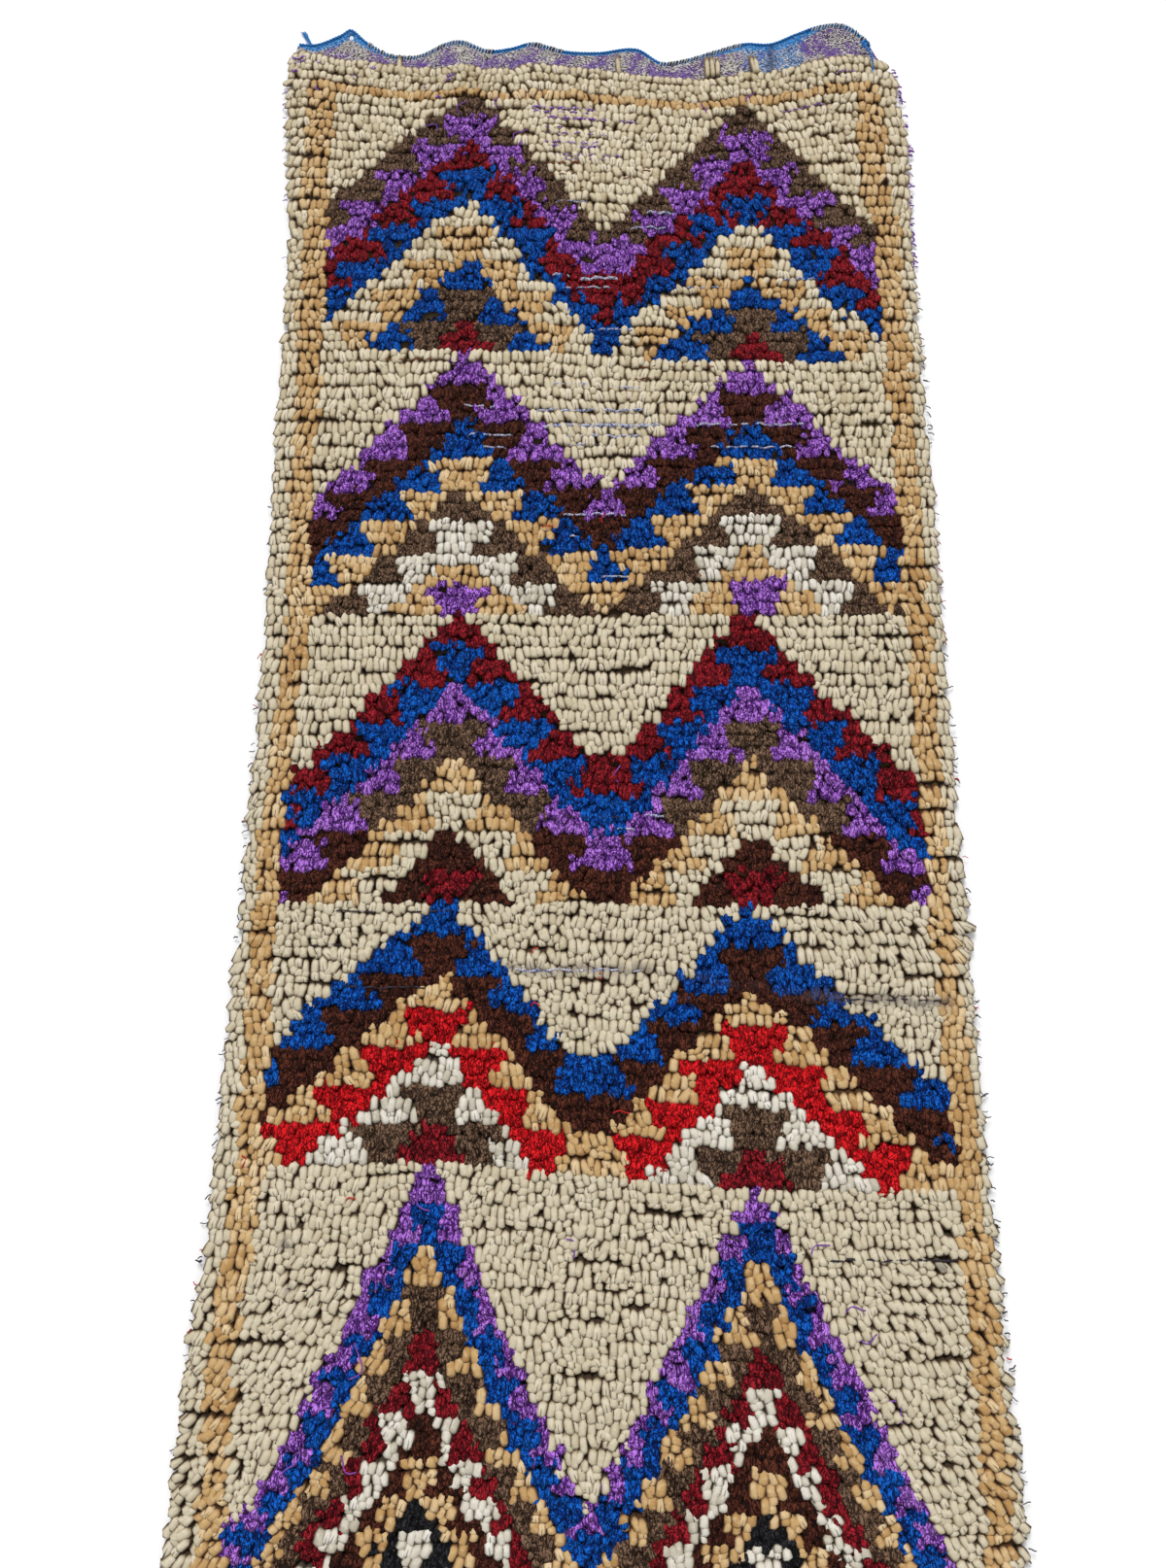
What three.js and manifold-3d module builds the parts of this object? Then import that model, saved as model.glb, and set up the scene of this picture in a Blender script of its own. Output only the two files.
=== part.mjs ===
import * as THREE from 'three';
import { mergeVertices } from 'three/addons/utils/BufferGeometryUtils.js';
import Module from 'manifold-3d';

// Azilal rug: a hand-knotted wool runner lying flat with its pile up.
// Millimetres, +Z up. X runs across the rug and Y along it, towards the end with the blue edge cord.
// The origin is the middle of the footprint, on the surface that the rug lies on.

// Driving dimensions
const pileHeight = 15.2;      // usual top of the tufts over the floor
const clothThickness = 3;     // flatwoven ends, without pile
const rowPitch = 15.5;        // from one row of knots to the next
const pileColumns = 24;       // faces across one row of the pile
const endColumns = 60;        // faces across the flatwoven top end
const lumpHeight = 1.4;       // broad rise and fall of the pile's top
const tuftHeight = 1.6;       // uneven height from one bunch of tufts to the next
const pieceGap = 0.3;         // between the rug and what is sewn or tied to it
const cordRadius = 2;         // twined cord along the top end, at its fattest
const cordPly = 0.2;          // share of that radius lost between its two strands
const cordSides = 6;
const cordSteps = 3;          // rings of the cord for each face of the cloth's edge
const cordTwist = 0.9;        // radians from one ring to the next

// Side edges of the pile: how far each lies from the centre line, at stations along the rug
const sideEdges = [
  { y: -1125, left: 426, right: 430 },
  { y: -1067, left: 427, right: 431 },
  { y: -927, left: 428, right: 432 },
  { y: -777, left: 427, right: 431 },
  { y: -627, left: 422, right: 428 },
  { y: -477, left: 412, right: 425 },
  { y: -327, left: 409, right: 425 },
  { y: -127, left: 406, right: 427 },
  { y: 73, left: 405, right: 426 },
  { y: 273, left: 407, right: 429 },
  { y: 473, left: 412, right: 431 },
  { y: 673, left: 414, right: 430 },
  { y: 823, left: 423, right: 433 },
  { y: 923, left: 432, right: 437 },
  { y: 1023, left: 437, right: 430 },
  { y: 1055, left: 435, right: 421 },
  { y: 1078, left: 432, right: 411 },
  { y: 1100, left: 428, right: 397 },
];

// Rippled top end: how far it reaches, where its pile starts and how high its edge lifts off the floor
const topEnd = [
  { x: -430, reach: 1100, pile: 1077, lift: 0 },
  { x: -400, reach: 1098, pile: 1076, lift: 1 },
  { x: -365, reach: 1112, pile: 1067, lift: 4 },
  { x: -351, reach: 1119, pile: 1063, lift: 6 },
  { x: -330, reach: 1101, pile: 1062, lift: 3 },
  { x: -295, reach: 1080, pile: 1056, lift: 0 },
  { x: -255, reach: 1078, pile: 1048, lift: 0 },
  { x: -213, reach: 1098, pile: 1050, lift: 3 },
  { x: -190, reach: 1100, pile: 1056, lift: 4 },
  { x: -155, reach: 1087, pile: 1050, lift: 1 },
  { x: -120, reach: 1091, pile: 1049, lift: 1 },
  { x: -90, reach: 1098, pile: 1055, lift: 3 },
  { x: -45, reach: 1086, pile: 1051, lift: 1 },
  { x: 5, reach: 1084, pile: 1045, lift: 0 },
  { x: 60, reach: 1087, pile: 1036, lift: 3 },
  { x: 95, reach: 1066, pile: 1033, lift: 0 },
  { x: 125, reach: 1069, pile: 1029, lift: 0 },
  { x: 175, reach: 1086, pile: 1031, lift: 1 },
  { x: 215, reach: 1097, pile: 1040, lift: 3 },
  { x: 254, reach: 1099, pile: 1042, lift: 1 },
  { x: 290, reach: 1111, pile: 1053, lift: 6 },
  { x: 325, reach: 1123, pile: 1066, lift: 9 },
  { x: 360, reach: 1125, pile: 1071, lift: 8 },
  { x: 385, reach: 1109, pile: 1071, lift: 4 },
  { x: 410, reach: 1078, pile: 1061, lift: 0 },
];

// Rows of the flatwoven top end, from its edge to the pile: place across the end and share of the lift
const topEndRows = [
  { down: 0, lift: 1 },
  { down: 0.33, lift: 0.6 },
  { down: 0.67, lift: 0.22 },
  { down: 1, lift: 0 },
];
const settle = 230;             // how far into the pile the ripples of the top end can be followed
const pileMiddle = 1052;        // where the pile starts on average at the top
const pileFoot = -1073;         // where it ends at the bottom
const bottomReach = -1121;      // middle of the plain bottom end's wavy edge
const bottomWave = 4;
const bottomLength = 260;       // from one wave of that edge to the next

// Rounded rim of the pile, with a lock at every second row
const rim = {
  height: 5,
  lock: 4.5,
  shortLock: 0.4,
  wearOff: 0.3,
  inset: 4,
  shoulder: 9,
  shoulderHeight: 12,
  endRise: 0.7,
};

// Lumps of the pile: millimetres for one radian of each wave, across and along the rug
const lumps = {
  broadAcross: 61,
  broadAlong: 47,
  closeAcross: 23,
  closeAlong: 31,
  crossAcross: 57,
  crossAlong: 19,
};
const broadShare = 0.6;
const closeShare = 0.7;

// Torn gap in the top end, by the left corner
const tear = { x: -351, y: 1101, halfWidth: 3.2, halfHeight: 6, sides: 10 };

// Loose ends of the blue cord: a frayed lock at the left corner, and a knot with a tail at the right
const fray = { x: -410, height: 2.6, length: 24, turn: 1.95, root: 2, spread: 4, tip: 1 };
const frayRings = [0, 0.3, 0.65, 1];
const knot = { x: 386, y: 1088, width: 12, height: 7 };
const tail = [
  { x: 386, y: 1086, up: 3.5, radius: 2.4 },
  { x: 391, y: 1074, up: 4, radius: 2.2 },
  { x: 395, y: 1062, up: 2.8, radius: 2 },
  { x: 396, y: 1050, up: 2.8, radius: 1.9 },
  { x: 395, y: 1039, up: 2.6, radius: 1.2 },
];

const wasm = await Module();
wasm.setup();

// A smooth curve through one column of a table
function readTable(table, place, column, at) {
  const last = table.length - 1;
  let i = 0;
  while (i < last - 1 && table[i + 1][place] < at) i += 1;
  const before = table[Math.max(i - 1, 0)];
  const from = table[i];
  const to = table[i + 1];
  const after = table[Math.min(i + 2, last)];
  const span = to[place] - from[place];
  const slopeFrom = (to[column] - before[column]) / (to[place] - before[place]);
  const slopeTo = (after[column] - from[column]) / (after[place] - from[place]);
  const t = THREE.MathUtils.clamp((at - from[place]) / span, 0, 1);
  const rest = 1 - t;
  return from[column] * (1 + 2 * t) * rest * rest + to[column] * (3 - 2 * t) * t * t
    + span * t * rest * (slopeFrom * rest - slopeTo * t);
}

const leftEdge = (y) => -readTable(sideEdges, 'y', 'left', y);
const rightEdge = (y) => readTable(sideEdges, 'y', 'right', y);
const topReach = (x) => readTable(topEnd, 'x', 'reach', x);
const topPile = (x) => readTable(topEnd, 'x', 'pile', x);
const topLift = (x) => Math.max(readTable(topEnd, 'x', 'lift', x), 0);
const clothEdge = (x) => topReach(x) - 2 * cordRadius - pieceGap;

// A steady number between 0 and 1 for a place in the weave
function uneven(i, j) {
  const wave = Math.sin(i * 12.9898 + j * 78.233) * 43758.5453;
  return wave - Math.floor(wave);
}

// A row's height along the rug, which follows the ripples of the top end and then runs straight
function rowHeight(base, x) {
  const follow = THREE.MathUtils.clamp(1 - (pileMiddle - base) / settle, 0, 1);
  return base + follow * (topPile(x) - pileMiddle);
}

function pileTop(x, y) {
  const broad = Math.sin(x / lumps.broadAcross) * Math.sin(y / lumps.broadAlong);
  const close = Math.sin(x / lumps.closeAcross + y / lumps.closeAlong)
    * Math.cos(y / lumps.crossAlong - x / lumps.crossAcross);
  return pileHeight + lumpHeight * (broadShare * broad + closeShare * close);
}

// Triangles between two rows of points that run the same way, whatever their counts
function zip(faces, upper, lower) {
  let i = 0;
  let j = 0;
  while (i < upper.length - 1 || j < lower.length - 1) {
    const nextUpper = i < upper.length - 1 ? upper[i + 1].x : Infinity;
    const nextLower = j < lower.length - 1 ? lower[j + 1].x : Infinity;
    if (nextUpper < nextLower) {
      faces.push([upper[i], lower[j], upper[i + 1]]);
      i += 1;
    } else {
      faces.push([upper[i], lower[j], lower[j + 1]]);
      j += 1;
    }
  }
}

function quad(faces, a, b, c, d) {
  faces.push([a, b, c], [a, c, d]);
}

function geometryOf(faces) {
  const places = faces.flat().flatMap((point) => [point.x, point.y, point.z]);
  const geometry = new THREE.BufferGeometry();
  geometry.setAttribute('position', new THREE.Float32BufferAttribute(places, 3));
  return geometry;
}

// Closed solid through rings of points, each ring seen turning anticlockwise from ahead
function loft(rings) {
  const faces = [];
  const middle = (ring) => ring.reduce((sum, p) => sum.add(p), new THREE.Vector3()).divideScalar(ring.length);
  rings.slice(1).forEach((ring, i) => {
    ring.forEach((point, k) => {
      const next = (k + 1) % ring.length;
      quad(faces, rings[i][k], rings[i][next], ring[next], point);
    });
  });
  const first = rings[0];
  const last = rings[rings.length - 1];
  const firstMiddle = middle(first);
  const lastMiddle = middle(last);
  first.forEach((point, k) => {
    const next = (k + 1) % first.length;
    faces.push([firstMiddle, first[next], point]);
    faces.push([lastMiddle, last[k], last[next]]);
  });
  return geometryOf(faces);
}

// One ring round a centre, square to the way that the cord runs
function ringAt(centre, ahead, radiusOf, sides) {
  const side = new THREE.Vector3(0, 0, 1).cross(ahead).normalize();
  const up = ahead.clone().cross(side).normalize();
  return Array.from({ length: sides }, (_, k) => {
    const angle = (k / sides) * 2 * Math.PI;
    const radius = radiusOf(angle);
    return centre.clone()
      .addScaledVector(side, Math.cos(angle) * radius)
      .addScaledVector(up, Math.sin(angle) * radius);
  });
}

function solidOf(geometry) {
  const bare = geometry.clone();
  bare.deleteAttribute('normal');
  bare.deleteAttribute('uv');
  const merged = mergeVertices(bare, 1e-4);
  return new wasm.Manifold(new wasm.Mesh({
    numProp: 3,
    vertProperties: new Float32Array(merged.attributes.position.array),
    triVerts: new Uint32Array(merged.index.array),
  }));
}

function geometryFrom(solid) {
  const mesh = solid.getMesh();
  const geometry = new THREE.BufferGeometry();
  geometry.setAttribute('position', new THREE.BufferAttribute(mesh.vertProperties, 3));
  geometry.setIndex(new THREE.BufferAttribute(mesh.triVerts, 1));
  return geometry;
}

// Rug: flatwoven ends and a lumpy slab of pile with locks at its rim, in one piece
function clothRow(base, heightOf, riseOf, columns) {
  const left = leftEdge(base);
  const right = rightEdge(base);
  return Array.from({ length: columns + 1 }, (_, k) => {
    const x = THREE.MathUtils.lerp(left, right, k / columns);
    return new THREE.Vector3(x, heightOf(x), riseOf(x));
  });
}

function topEndRow(row, thickness) {
  const base = row.down * pileMiddle + (1 - row.down) * sideEdges[sideEdges.length - 1].y;
  const heightOf = (x) => THREE.MathUtils.lerp(clothEdge(x), topPile(x), row.down);
  return clothRow(base, heightOf, (x) => topLift(x) * row.lift + thickness, endColumns);
}

function pileRow(base, index, rise) {
  const long = (side) => rim.lock * (1 - rim.wearOff * uneven(index, side));
  const short = (side) => rim.lock * rim.shortLock * uneven(index, side);
  const lockLeft = index % 2 ? long(1) : short(2);
  const lockRight = index % 2 ? short(3) : long(4);
  const left = leftEdge(base) + rim.lock - lockLeft;
  const right = rightEdge(base) - rim.lock + lockRight;
  const point = (x, z) => new THREE.Vector3(x, rowHeight(base, x), z);
  const firstShoulder = leftEdge(base) + rim.shoulder;
  const lastShoulder = rightEdge(base) - rim.shoulder;
  const underInset = rim.lock + rim.inset;
  const shoulderDrop = pileHeight - rim.shoulderHeight;
  const across = Array.from({ length: pileColumns + 1 }, (_, k) => {
    const x = THREE.MathUtils.lerp(firstShoulder, lastShoulder, k / pileColumns);
    const drop = k % pileColumns ? tuftHeight * uneven(index, k + 5) : shoulderDrop;
    return point(x, (pileTop(x, base) - drop) * rise);
  });
  return {
    top: [point(left, rim.height), ...across, point(right, rim.height)],
    under: [point(leftEdge(base) + underInset, 0), point(rightEdge(base) - underInset, 0)],
  };
}

function bottomEdge(x) {
  return bottomReach - bottomWave * Math.cos(((x - bottomLength / 5) / bottomLength) * 2 * Math.PI);
}

function makeRug() {
  const faces = [];
  const flip = (points) => points.map((triangle) => [triangle[0], triangle[2], triangle[1]]);

  const endTop = topEndRows.map((row) => topEndRow(row, clothThickness));
  const endUnder = topEndRows.map((row) => topEndRow(row, 0));

  const firstBase = pileMiddle - rim.inset;
  const lastBase = pileFoot + rim.inset;
  const pileRows = Math.round((firstBase - lastBase) / rowPitch);
  const pile = Array.from({ length: pileRows + 1 }, (_, i) => {
    const base = THREE.MathUtils.lerp(firstBase, lastBase, i / pileRows);
    const rise = i === 0 || i === pileRows ? rim.endRise : 1;
    return pileRow(base, i, rise);
  });

  const footTop = [pileFoot, (pileFoot + bottomReach) / 2]
    .map((base) => clothRow(base, () => base, () => clothThickness, pileColumns));
  footTop.push(clothRow(bottomReach, bottomEdge, () => clothThickness, pileColumns));
  const footUnder = clothRow(bottomReach, bottomEdge, () => 0, pileColumns);

  const topRows = [...endTop, ...pile.map((row) => row.top), ...footTop];
  topRows.slice(1).forEach((row, i) => zip(faces, topRows[i], row));

  const underFaces = [];
  endUnder.slice(1).forEach((row, i) => zip(underFaces, endUnder[i], row));
  faces.push(...flip(underFaces));

  const footChain = footTop.slice(0, 2).map((row) => [row[0], row[row.length - 1]]
    .map((p) => new THREE.Vector3(p.x, p.y, 0)));
  const ends = (row) => [row[0], row[row.length - 1]];
  const underChain = [...endUnder.map(ends), ...pile.map((row) => row.under), ...footChain, ends(footUnder)];
  const topChain = topRows.map(ends);
  topChain.slice(1).forEach((pair, i) => {
    quad(faces, topChain[i][0], underChain[i][0], underChain[i + 1][0], pair[0]);
    quad(faces, topChain[i][1], pair[1], underChain[i + 1][1], underChain[i][1]);
  });

  endTop[0].slice(1).forEach((point, k) => {
    quad(faces, endTop[0][k], point, endUnder[0][k + 1], endUnder[0][k]);
  });
  const footEdge = footTop[footTop.length - 1];
  footEdge.slice(1).forEach((point, k) => {
    quad(faces, footEdge[k], footUnder[k], footUnder[k + 1], point);
  });

  // The flat underside is one outline, cut into triangles
  const flatChain = underChain.slice(topEndRows.length, underChain.length - 1);
  const outline = [
    ...endUnder[topEndRows.length - 1],
    ...flatChain.map((pair) => pair[1]),
    ...[...footUnder].reverse(),
    ...flatChain.map((pair) => pair[0]).reverse(),
  ].reverse();
  const contour = outline.map((p) => new THREE.Vector2(p.x, p.y));
  THREE.ShapeUtils.triangulateShape(contour, []).forEach((triangle) => {
    faces.push([outline[triangle[0]], outline[triangle[2]], outline[triangle[1]]]);
  });

  const hole = new THREE.CylinderGeometry(1, 1, 2 * pileHeight, tear.sides)
    .rotateX(Math.PI / 2)
    .scale(tear.halfWidth, tear.halfHeight, 1)
    .translate(tear.x, tear.y, 0);
  return geometryFrom(solidOf(geometryOf(faces)).subtract(solidOf(hole)));
}

// Twined cord along the edge of the top end, of two strands
function makeCord() {
  const edge = topEndRow(topEndRows[0], 0);
  const ahead = edge.map((point, k) => {
    const from = edge[Math.max(k - 1, 0)];
    const to = edge[Math.min(k + 1, edge.length - 1)];
    return to.clone().sub(from).setZ(0).normalize();
  });
  const path = edge.map((point, k) => {
    const outwards = new THREE.Vector3(-ahead[k].y, ahead[k].x, 0);
    const segment = edge[Math.min(k + 1, edge.length - 1)].clone()
      .sub(edge[Math.min(k, edge.length - 2)]).setZ(0).normalize();
    const mitre = 1 / ahead[k].dot(segment);
    return point.clone()
      .addScaledVector(outwards, (cordRadius + pieceGap) * mitre)
      .setZ(point.z + cordRadius);
  });
  const rings = [];
  const count = (path.length - 1) * cordSteps;
  for (let i = 0; i <= count; i += 1) {
    const k = Math.min(Math.floor(i / cordSteps), path.length - 2);
    const t = i / cordSteps - k;
    const centre = path[k].clone().lerp(path[k + 1], t);
    const heading = path[Math.min(k + 1, path.length - 1)].clone().sub(path[k]).normalize();
    const turned = i % cordSteps ? heading : ahead[Math.round(i / cordSteps)];
    const waist = (angle) => (1 + Math.cos(2 * (angle - i * cordTwist))) / 2;
    const radiusOf = (angle) => cordRadius * (1 - cordPly * waist(angle));
    rings.push(ringAt(centre, turned, radiusOf, cordSides));
  }
  return loft(rings);
}

// Frayed end of the cord at the left corner: a lock that spreads from its root
function makeFray() {
  const ahead = new THREE.Vector3(Math.cos(fray.turn), Math.sin(fray.turn), 0);
  const rootReach = pieceGap + fray.root * Math.abs(ahead.x);
  const root = new THREE.Vector3(fray.x, topReach(fray.x) + rootReach, fray.height);
  const rings = frayRings.map((t) => {
    const height = THREE.MathUtils.lerp(fray.height, fray.tip, t);
    const centre = root.clone().addScaledVector(ahead, fray.length * t).setZ(height);
    const flat = THREE.MathUtils.lerp(fray.root, fray.tip, t);
    const wide = THREE.MathUtils.lerp(fray.root, fray.spread, t);
    const radiusOf = (angle) => Math.hypot(Math.cos(angle) * wide, Math.sin(angle) * flat);
    return ringAt(centre, ahead, radiusOf, 4);
  });
  return loft(rings);
}

// How high the rug lies at a place near the right corner
function restHeight(x, y) {
  const start = topPile(x);
  if (y < start + rim.inset) return pileTop(x, y) + lumpHeight;
  const down = THREE.MathUtils.clamp((clothEdge(x) - y) / (clothEdge(x) - start), 0, 1);
  return clothThickness + topLift(x) * (1 - down);
}

function makeKnot() {
  const ball = new THREE.IcosahedronGeometry(1, 1)
    .scale(knot.width / 2, knot.width / 2, knot.height / 2)
    .translate(knot.x, knot.y, restHeight(knot.x, knot.y) + knot.height / 2 + 2 * pieceGap);
  const path = tail.map((row) => new THREE.Vector3(row.x, row.y, restHeight(row.x, row.y) + row.up));
  const rings = path.map((centre, k) => {
    const from = path[Math.max(k - 1, 0)];
    const to = path[Math.min(k + 1, path.length - 1)];
    return ringAt(centre, to.clone().sub(from).normalize(), () => tail[k].radius, 4);
  });
  return geometryFrom(solidOf(ball).add(solidOf(loft(rings))));
}

const wool = new THREE.MeshStandardMaterial({ color: 0xcdc3a5, roughness: 0.95, metalness: 0 });
const blueYarn = new THREE.MeshStandardMaterial({ color: 0x1e6eb4, roughness: 0.85, metalness: 0 });
const frayedYarn = new THREE.MeshStandardMaterial({ color: 0x2f80c4, roughness: 0.9, metalness: 0 });
const knottedYarn = new THREE.MeshStandardMaterial({ color: 0x1a5e9e, roughness: 0.9, metalness: 0 });

const pieces = [
  { name: 'rug_body', geometry: makeRug(), material: wool },
  { name: 'top_edge_cord', geometry: makeCord(), material: blueYarn },
  { name: 'left_corner_fray', geometry: makeFray(), material: frayedYarn },
  { name: 'right_corner_knot', geometry: makeKnot(), material: knottedYarn },
];

const rug = new THREE.Group();
pieces.forEach(({ name, geometry, material }) => {
  const mesh = new THREE.Mesh(geometry, material);
  mesh.name = name;
  rug.add(mesh);
});

// The footprint's middle goes to the origin
const middle = new THREE.Box3().setFromObject(rug).getCenter(new THREE.Vector3());
rug.children.forEach((mesh) => mesh.geometry.translate(-middle.x, -middle.y, 0));

export default rug;
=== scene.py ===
import math

import bpy
import numpy as np
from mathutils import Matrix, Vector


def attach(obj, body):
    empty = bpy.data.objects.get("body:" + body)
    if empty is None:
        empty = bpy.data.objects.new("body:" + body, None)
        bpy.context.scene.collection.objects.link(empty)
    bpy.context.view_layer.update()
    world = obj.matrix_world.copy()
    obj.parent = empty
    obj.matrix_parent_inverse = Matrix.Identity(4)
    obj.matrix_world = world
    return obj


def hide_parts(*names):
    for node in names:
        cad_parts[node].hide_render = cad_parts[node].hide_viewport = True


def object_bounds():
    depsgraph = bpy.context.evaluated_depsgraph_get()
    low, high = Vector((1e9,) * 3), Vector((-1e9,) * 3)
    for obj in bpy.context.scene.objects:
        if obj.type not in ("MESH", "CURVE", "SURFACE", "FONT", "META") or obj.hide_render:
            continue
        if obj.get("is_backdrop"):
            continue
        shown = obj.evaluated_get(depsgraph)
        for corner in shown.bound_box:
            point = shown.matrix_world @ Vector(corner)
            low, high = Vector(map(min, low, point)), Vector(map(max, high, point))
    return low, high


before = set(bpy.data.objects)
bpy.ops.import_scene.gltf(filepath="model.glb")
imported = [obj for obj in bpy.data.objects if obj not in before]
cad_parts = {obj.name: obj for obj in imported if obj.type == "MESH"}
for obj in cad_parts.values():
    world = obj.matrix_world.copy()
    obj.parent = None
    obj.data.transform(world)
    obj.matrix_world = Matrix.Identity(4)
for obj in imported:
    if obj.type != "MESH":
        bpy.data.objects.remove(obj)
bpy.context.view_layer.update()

# Azilal rug: a hand-knotted wool runner. The rug is laid out in millimetres, x across it and y along it
# as in the CAD, and every mesh is written in metres.
bpy.ops.object.select_all(action="DESELECT")
dice = np.random.default_rng(11)
mm = 0.001

# Camera of the photograph, nearly overhead: place in metres, tilt in degrees, lens in millimetres
photoView = {
    "height": 1.3445,
    "along": -0.399,
    "tilt": 16.044,
    "lens": 27.06,
    "sensor": 36.0,
    "shift": -0.0074,
}
bpy.ops.object.camera_add(
    location=(0, photoView["along"], photoView["height"]),
    rotation=(math.radians(photoView["tilt"]), 0, 0),
)
camera = bpy.context.object
camera.data.sensor_width = photoView["sensor"]
camera.data.lens = photoView["lens"]
camera.data.shift_x = photoView["shift"]
bpy.context.scene.camera = camera
print("camera set")


# A socket of a material. A sum or product of sockets adds the Math nodes that work it out.
class Wire:
    def __init__(self, finish, socket):
        self.finish = finish
        self.socket = socket

    def maths(self, operation, first, second):
        return self.finish.node("ShaderNodeMath", {"operation": operation}, {0: first, 1: second})

    def __add__(self, other):
        return self.maths("ADD", self, other)

    def __radd__(self, other):
        return self.maths("ADD", other, self)

    def __sub__(self, other):
        return self.maths("SUBTRACT", self, other)

    def __rsub__(self, other):
        return self.maths("SUBTRACT", other, self)

    def __mul__(self, other):
        return self.maths("MULTIPLY", self, other)

    def __rmul__(self, other):
        return self.maths("MULTIPLY", other, self)

    def larger(self, other):
        return self.maths("MAXIMUM", self, other)

    def smaller(self, other):
        return self.maths("MINIMUM", self, other)

    def size(self):
        return self.finish.node("ShaderNodeMath", {"operation": "ABSOLUTE"}, {0: self})

    def ramp(self, low, high):
        return self.finish.node(
            "ShaderNodeMapRange",
            {"interpolation_type": "SMOOTHSTEP"},
            {"Value": self, "From Min": low, "From Max": high},
        )


class Finish:
    def __init__(self, name, sheen=0.0):
        self.material = bpy.data.materials.new(name)
        self.material.use_nodes = True
        self.tree = self.material.node_tree
        self.shader = self.tree.nodes["Principled BSDF"]
        self.shader.inputs["Specular IOR Level"].default_value = 0.25
        self.shader.inputs["Sheen Weight"].default_value = sheen
        self.shader.inputs["Sheen Roughness"].default_value = 0.6

    def plug(self, socket, value):
        if isinstance(value, Wire):
            self.tree.links.new(value.socket, socket)
        else:
            socket.default_value = value

    def node(self, kind, settings, sockets, output=0):
        made = self.tree.nodes.new(kind)
        for name, value in settings.items():
            setattr(made, name, value)
        for name, value in sockets.items():
            self.plug(made.inputs[name], value)
        return Wire(self, made.outputs[output])

    def attribute(self, name, output=2):
        return self.node("ShaderNodeAttribute", {"attribute_name": name}, {}, output)

    def mix(self, share, first, second):
        return self.node("ShaderNodeMix", {"data_type": "RGBA"}, {0: share, 6: first, 7: second}, 2)

    def parts(self, place):
        split = self.node("ShaderNodeSeparateXYZ", {}, {"Vector": place})
        return [Wire(self, output) for output in split.socket.node.outputs]

    def noise(self, place, scale, detail, roughness=0.5, swirl=0.0):
        sockets = {
            "Vector": place,
            "Scale": scale,
            "Detail": detail,
            "Roughness": roughness,
            "Distortion": swirl,
        }
        return self.node("ShaderNodeTexNoise", {}, sockets)

    def stretched(self, place, scale):
        return self.node("ShaderNodeVectorMath", {"operation": "MULTIPLY"}, {0: place, 1: scale})

    def wear(self, colour, roughness, height, strength, distance):
        self.plug(self.shader.inputs["Base Color"], colour)
        self.plug(self.shader.inputs["Roughness"], roughness)
        sockets = {"Height": height, "Strength": strength, "Distance": distance}
        self.plug(self.shader.inputs["Normal"], self.node("ShaderNodeBump", {}, sockets))


def paint(red, green, blue):
    def linear(value):
        share = value / 255
        return share / 12.92 if share <= 0.04045 else ((share + 0.055) / 1.055) ** 2.4

    return (linear(red), linear(green), linear(blue), 1.0)


# Yarns: the colour of a tuft's top, of a lighter and a duller tuft, of the painted shade at the rim of a
# plump tuft, and of the painted shade deep in the pile, between tufts and between strands. The lighter
# colour also paints highlights along the strands of fine yarn. Cream is a little cooler towards the plain
# end.
yarns = {
    "cream": {"top": (206, 194, 166), "light": (222, 212, 190), "dull": (180, 165, 132),
              "rim": (144, 121, 88), "deep": (60, 45, 30), "cool": (197, 189, 167)},
    "gold": {"top": (191, 157, 106), "light": (221, 199, 160), "dull": (170, 130, 78),
             "rim": (140, 98, 52), "deep": (70, 44, 20)},
    "white": {"top": (208, 202, 188), "light": (226, 222, 212), "dull": (180, 172, 154),
              "rim": (150, 137, 114), "deep": (68, 58, 48)},
    "midBrown": {"top": (90, 67, 51), "light": (126, 99, 79), "dull": (64, 45, 34), "deep": (20, 12, 8)},
    "darkBrown": {"top": (62, 27, 18), "light": (92, 48, 34), "dull": (40, 16, 11), "deep": (11, 4, 3)},
    "black": {"top": (24, 24, 27), "light": (46, 46, 50), "dull": (14, 14, 16), "deep": (4, 4, 5)},
    "purple": {"top": (130, 67, 172), "light": (186, 124, 226), "dull": (94, 40, 132), "deep": (34, 12, 54)},
    "blue": {"top": (2, 58, 150), "light": (18, 98, 196), "dull": (1, 40, 110), "deep": (0, 6, 34)},
    "darkRed": {"top": (116, 12, 24), "light": (156, 32, 42), "dull": (86, 6, 16), "deep": (30, 3, 7)},
    "brightRed": {"top": (196, 8, 18), "light": (226, 32, 38), "dull": (156, 5, 12), "deep": (58, 1, 3)},
}
soilColour = (86, 76, 80)

# Wool's looks: the scales of its patches and fuzz, and where on a tuft its painted shade starts: the brown
# rim of painted shade, and the darker painted shade beside it. Across a tuft goes from 0 in the middle to
# 0.5, along it from 0 at its root to 1 at its tip.
woolLook = {
    "patches": 7.0,
    "fuzz": 170.0,
    "strands": 250.0,
    "crossStrands": 360.0,
    "fibre": 1.6,
    "soil": 0.85,
    "roughness": 0.8,
    "bump": 0.0015,
}
# Fine tufts: where painted shade darkens their sides, their root under the row above and their foot low in
# the pile
fineTuft = {"darkSides": (0.42, 0.52), "darkRoot": (0.02, 0.14), "darkFoot": (-0.05, 0.15), "shine": 0.12}
# Plump tufts: where the brown rim of painted shade and the darker painted shade start, and a crease of
# painted shade
plumpTuft = {
    "rounding": 1.3,
    "rimSides": (0.12, 0.4),
    "rimRoot": (0.2, 0.44),
    "rimTip": (0.84, 0.98),
    "darkSides": (0.27, 0.4),
    "darkTip": (0.9, 0.99),
    "darkRoot": (0.19, 0.32),
    "darkFoot": (0.14, 0.42),
    "crease": 0.05,
    "creased": (0.86, 0.88),
    "sheen": 0.03,
}
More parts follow.
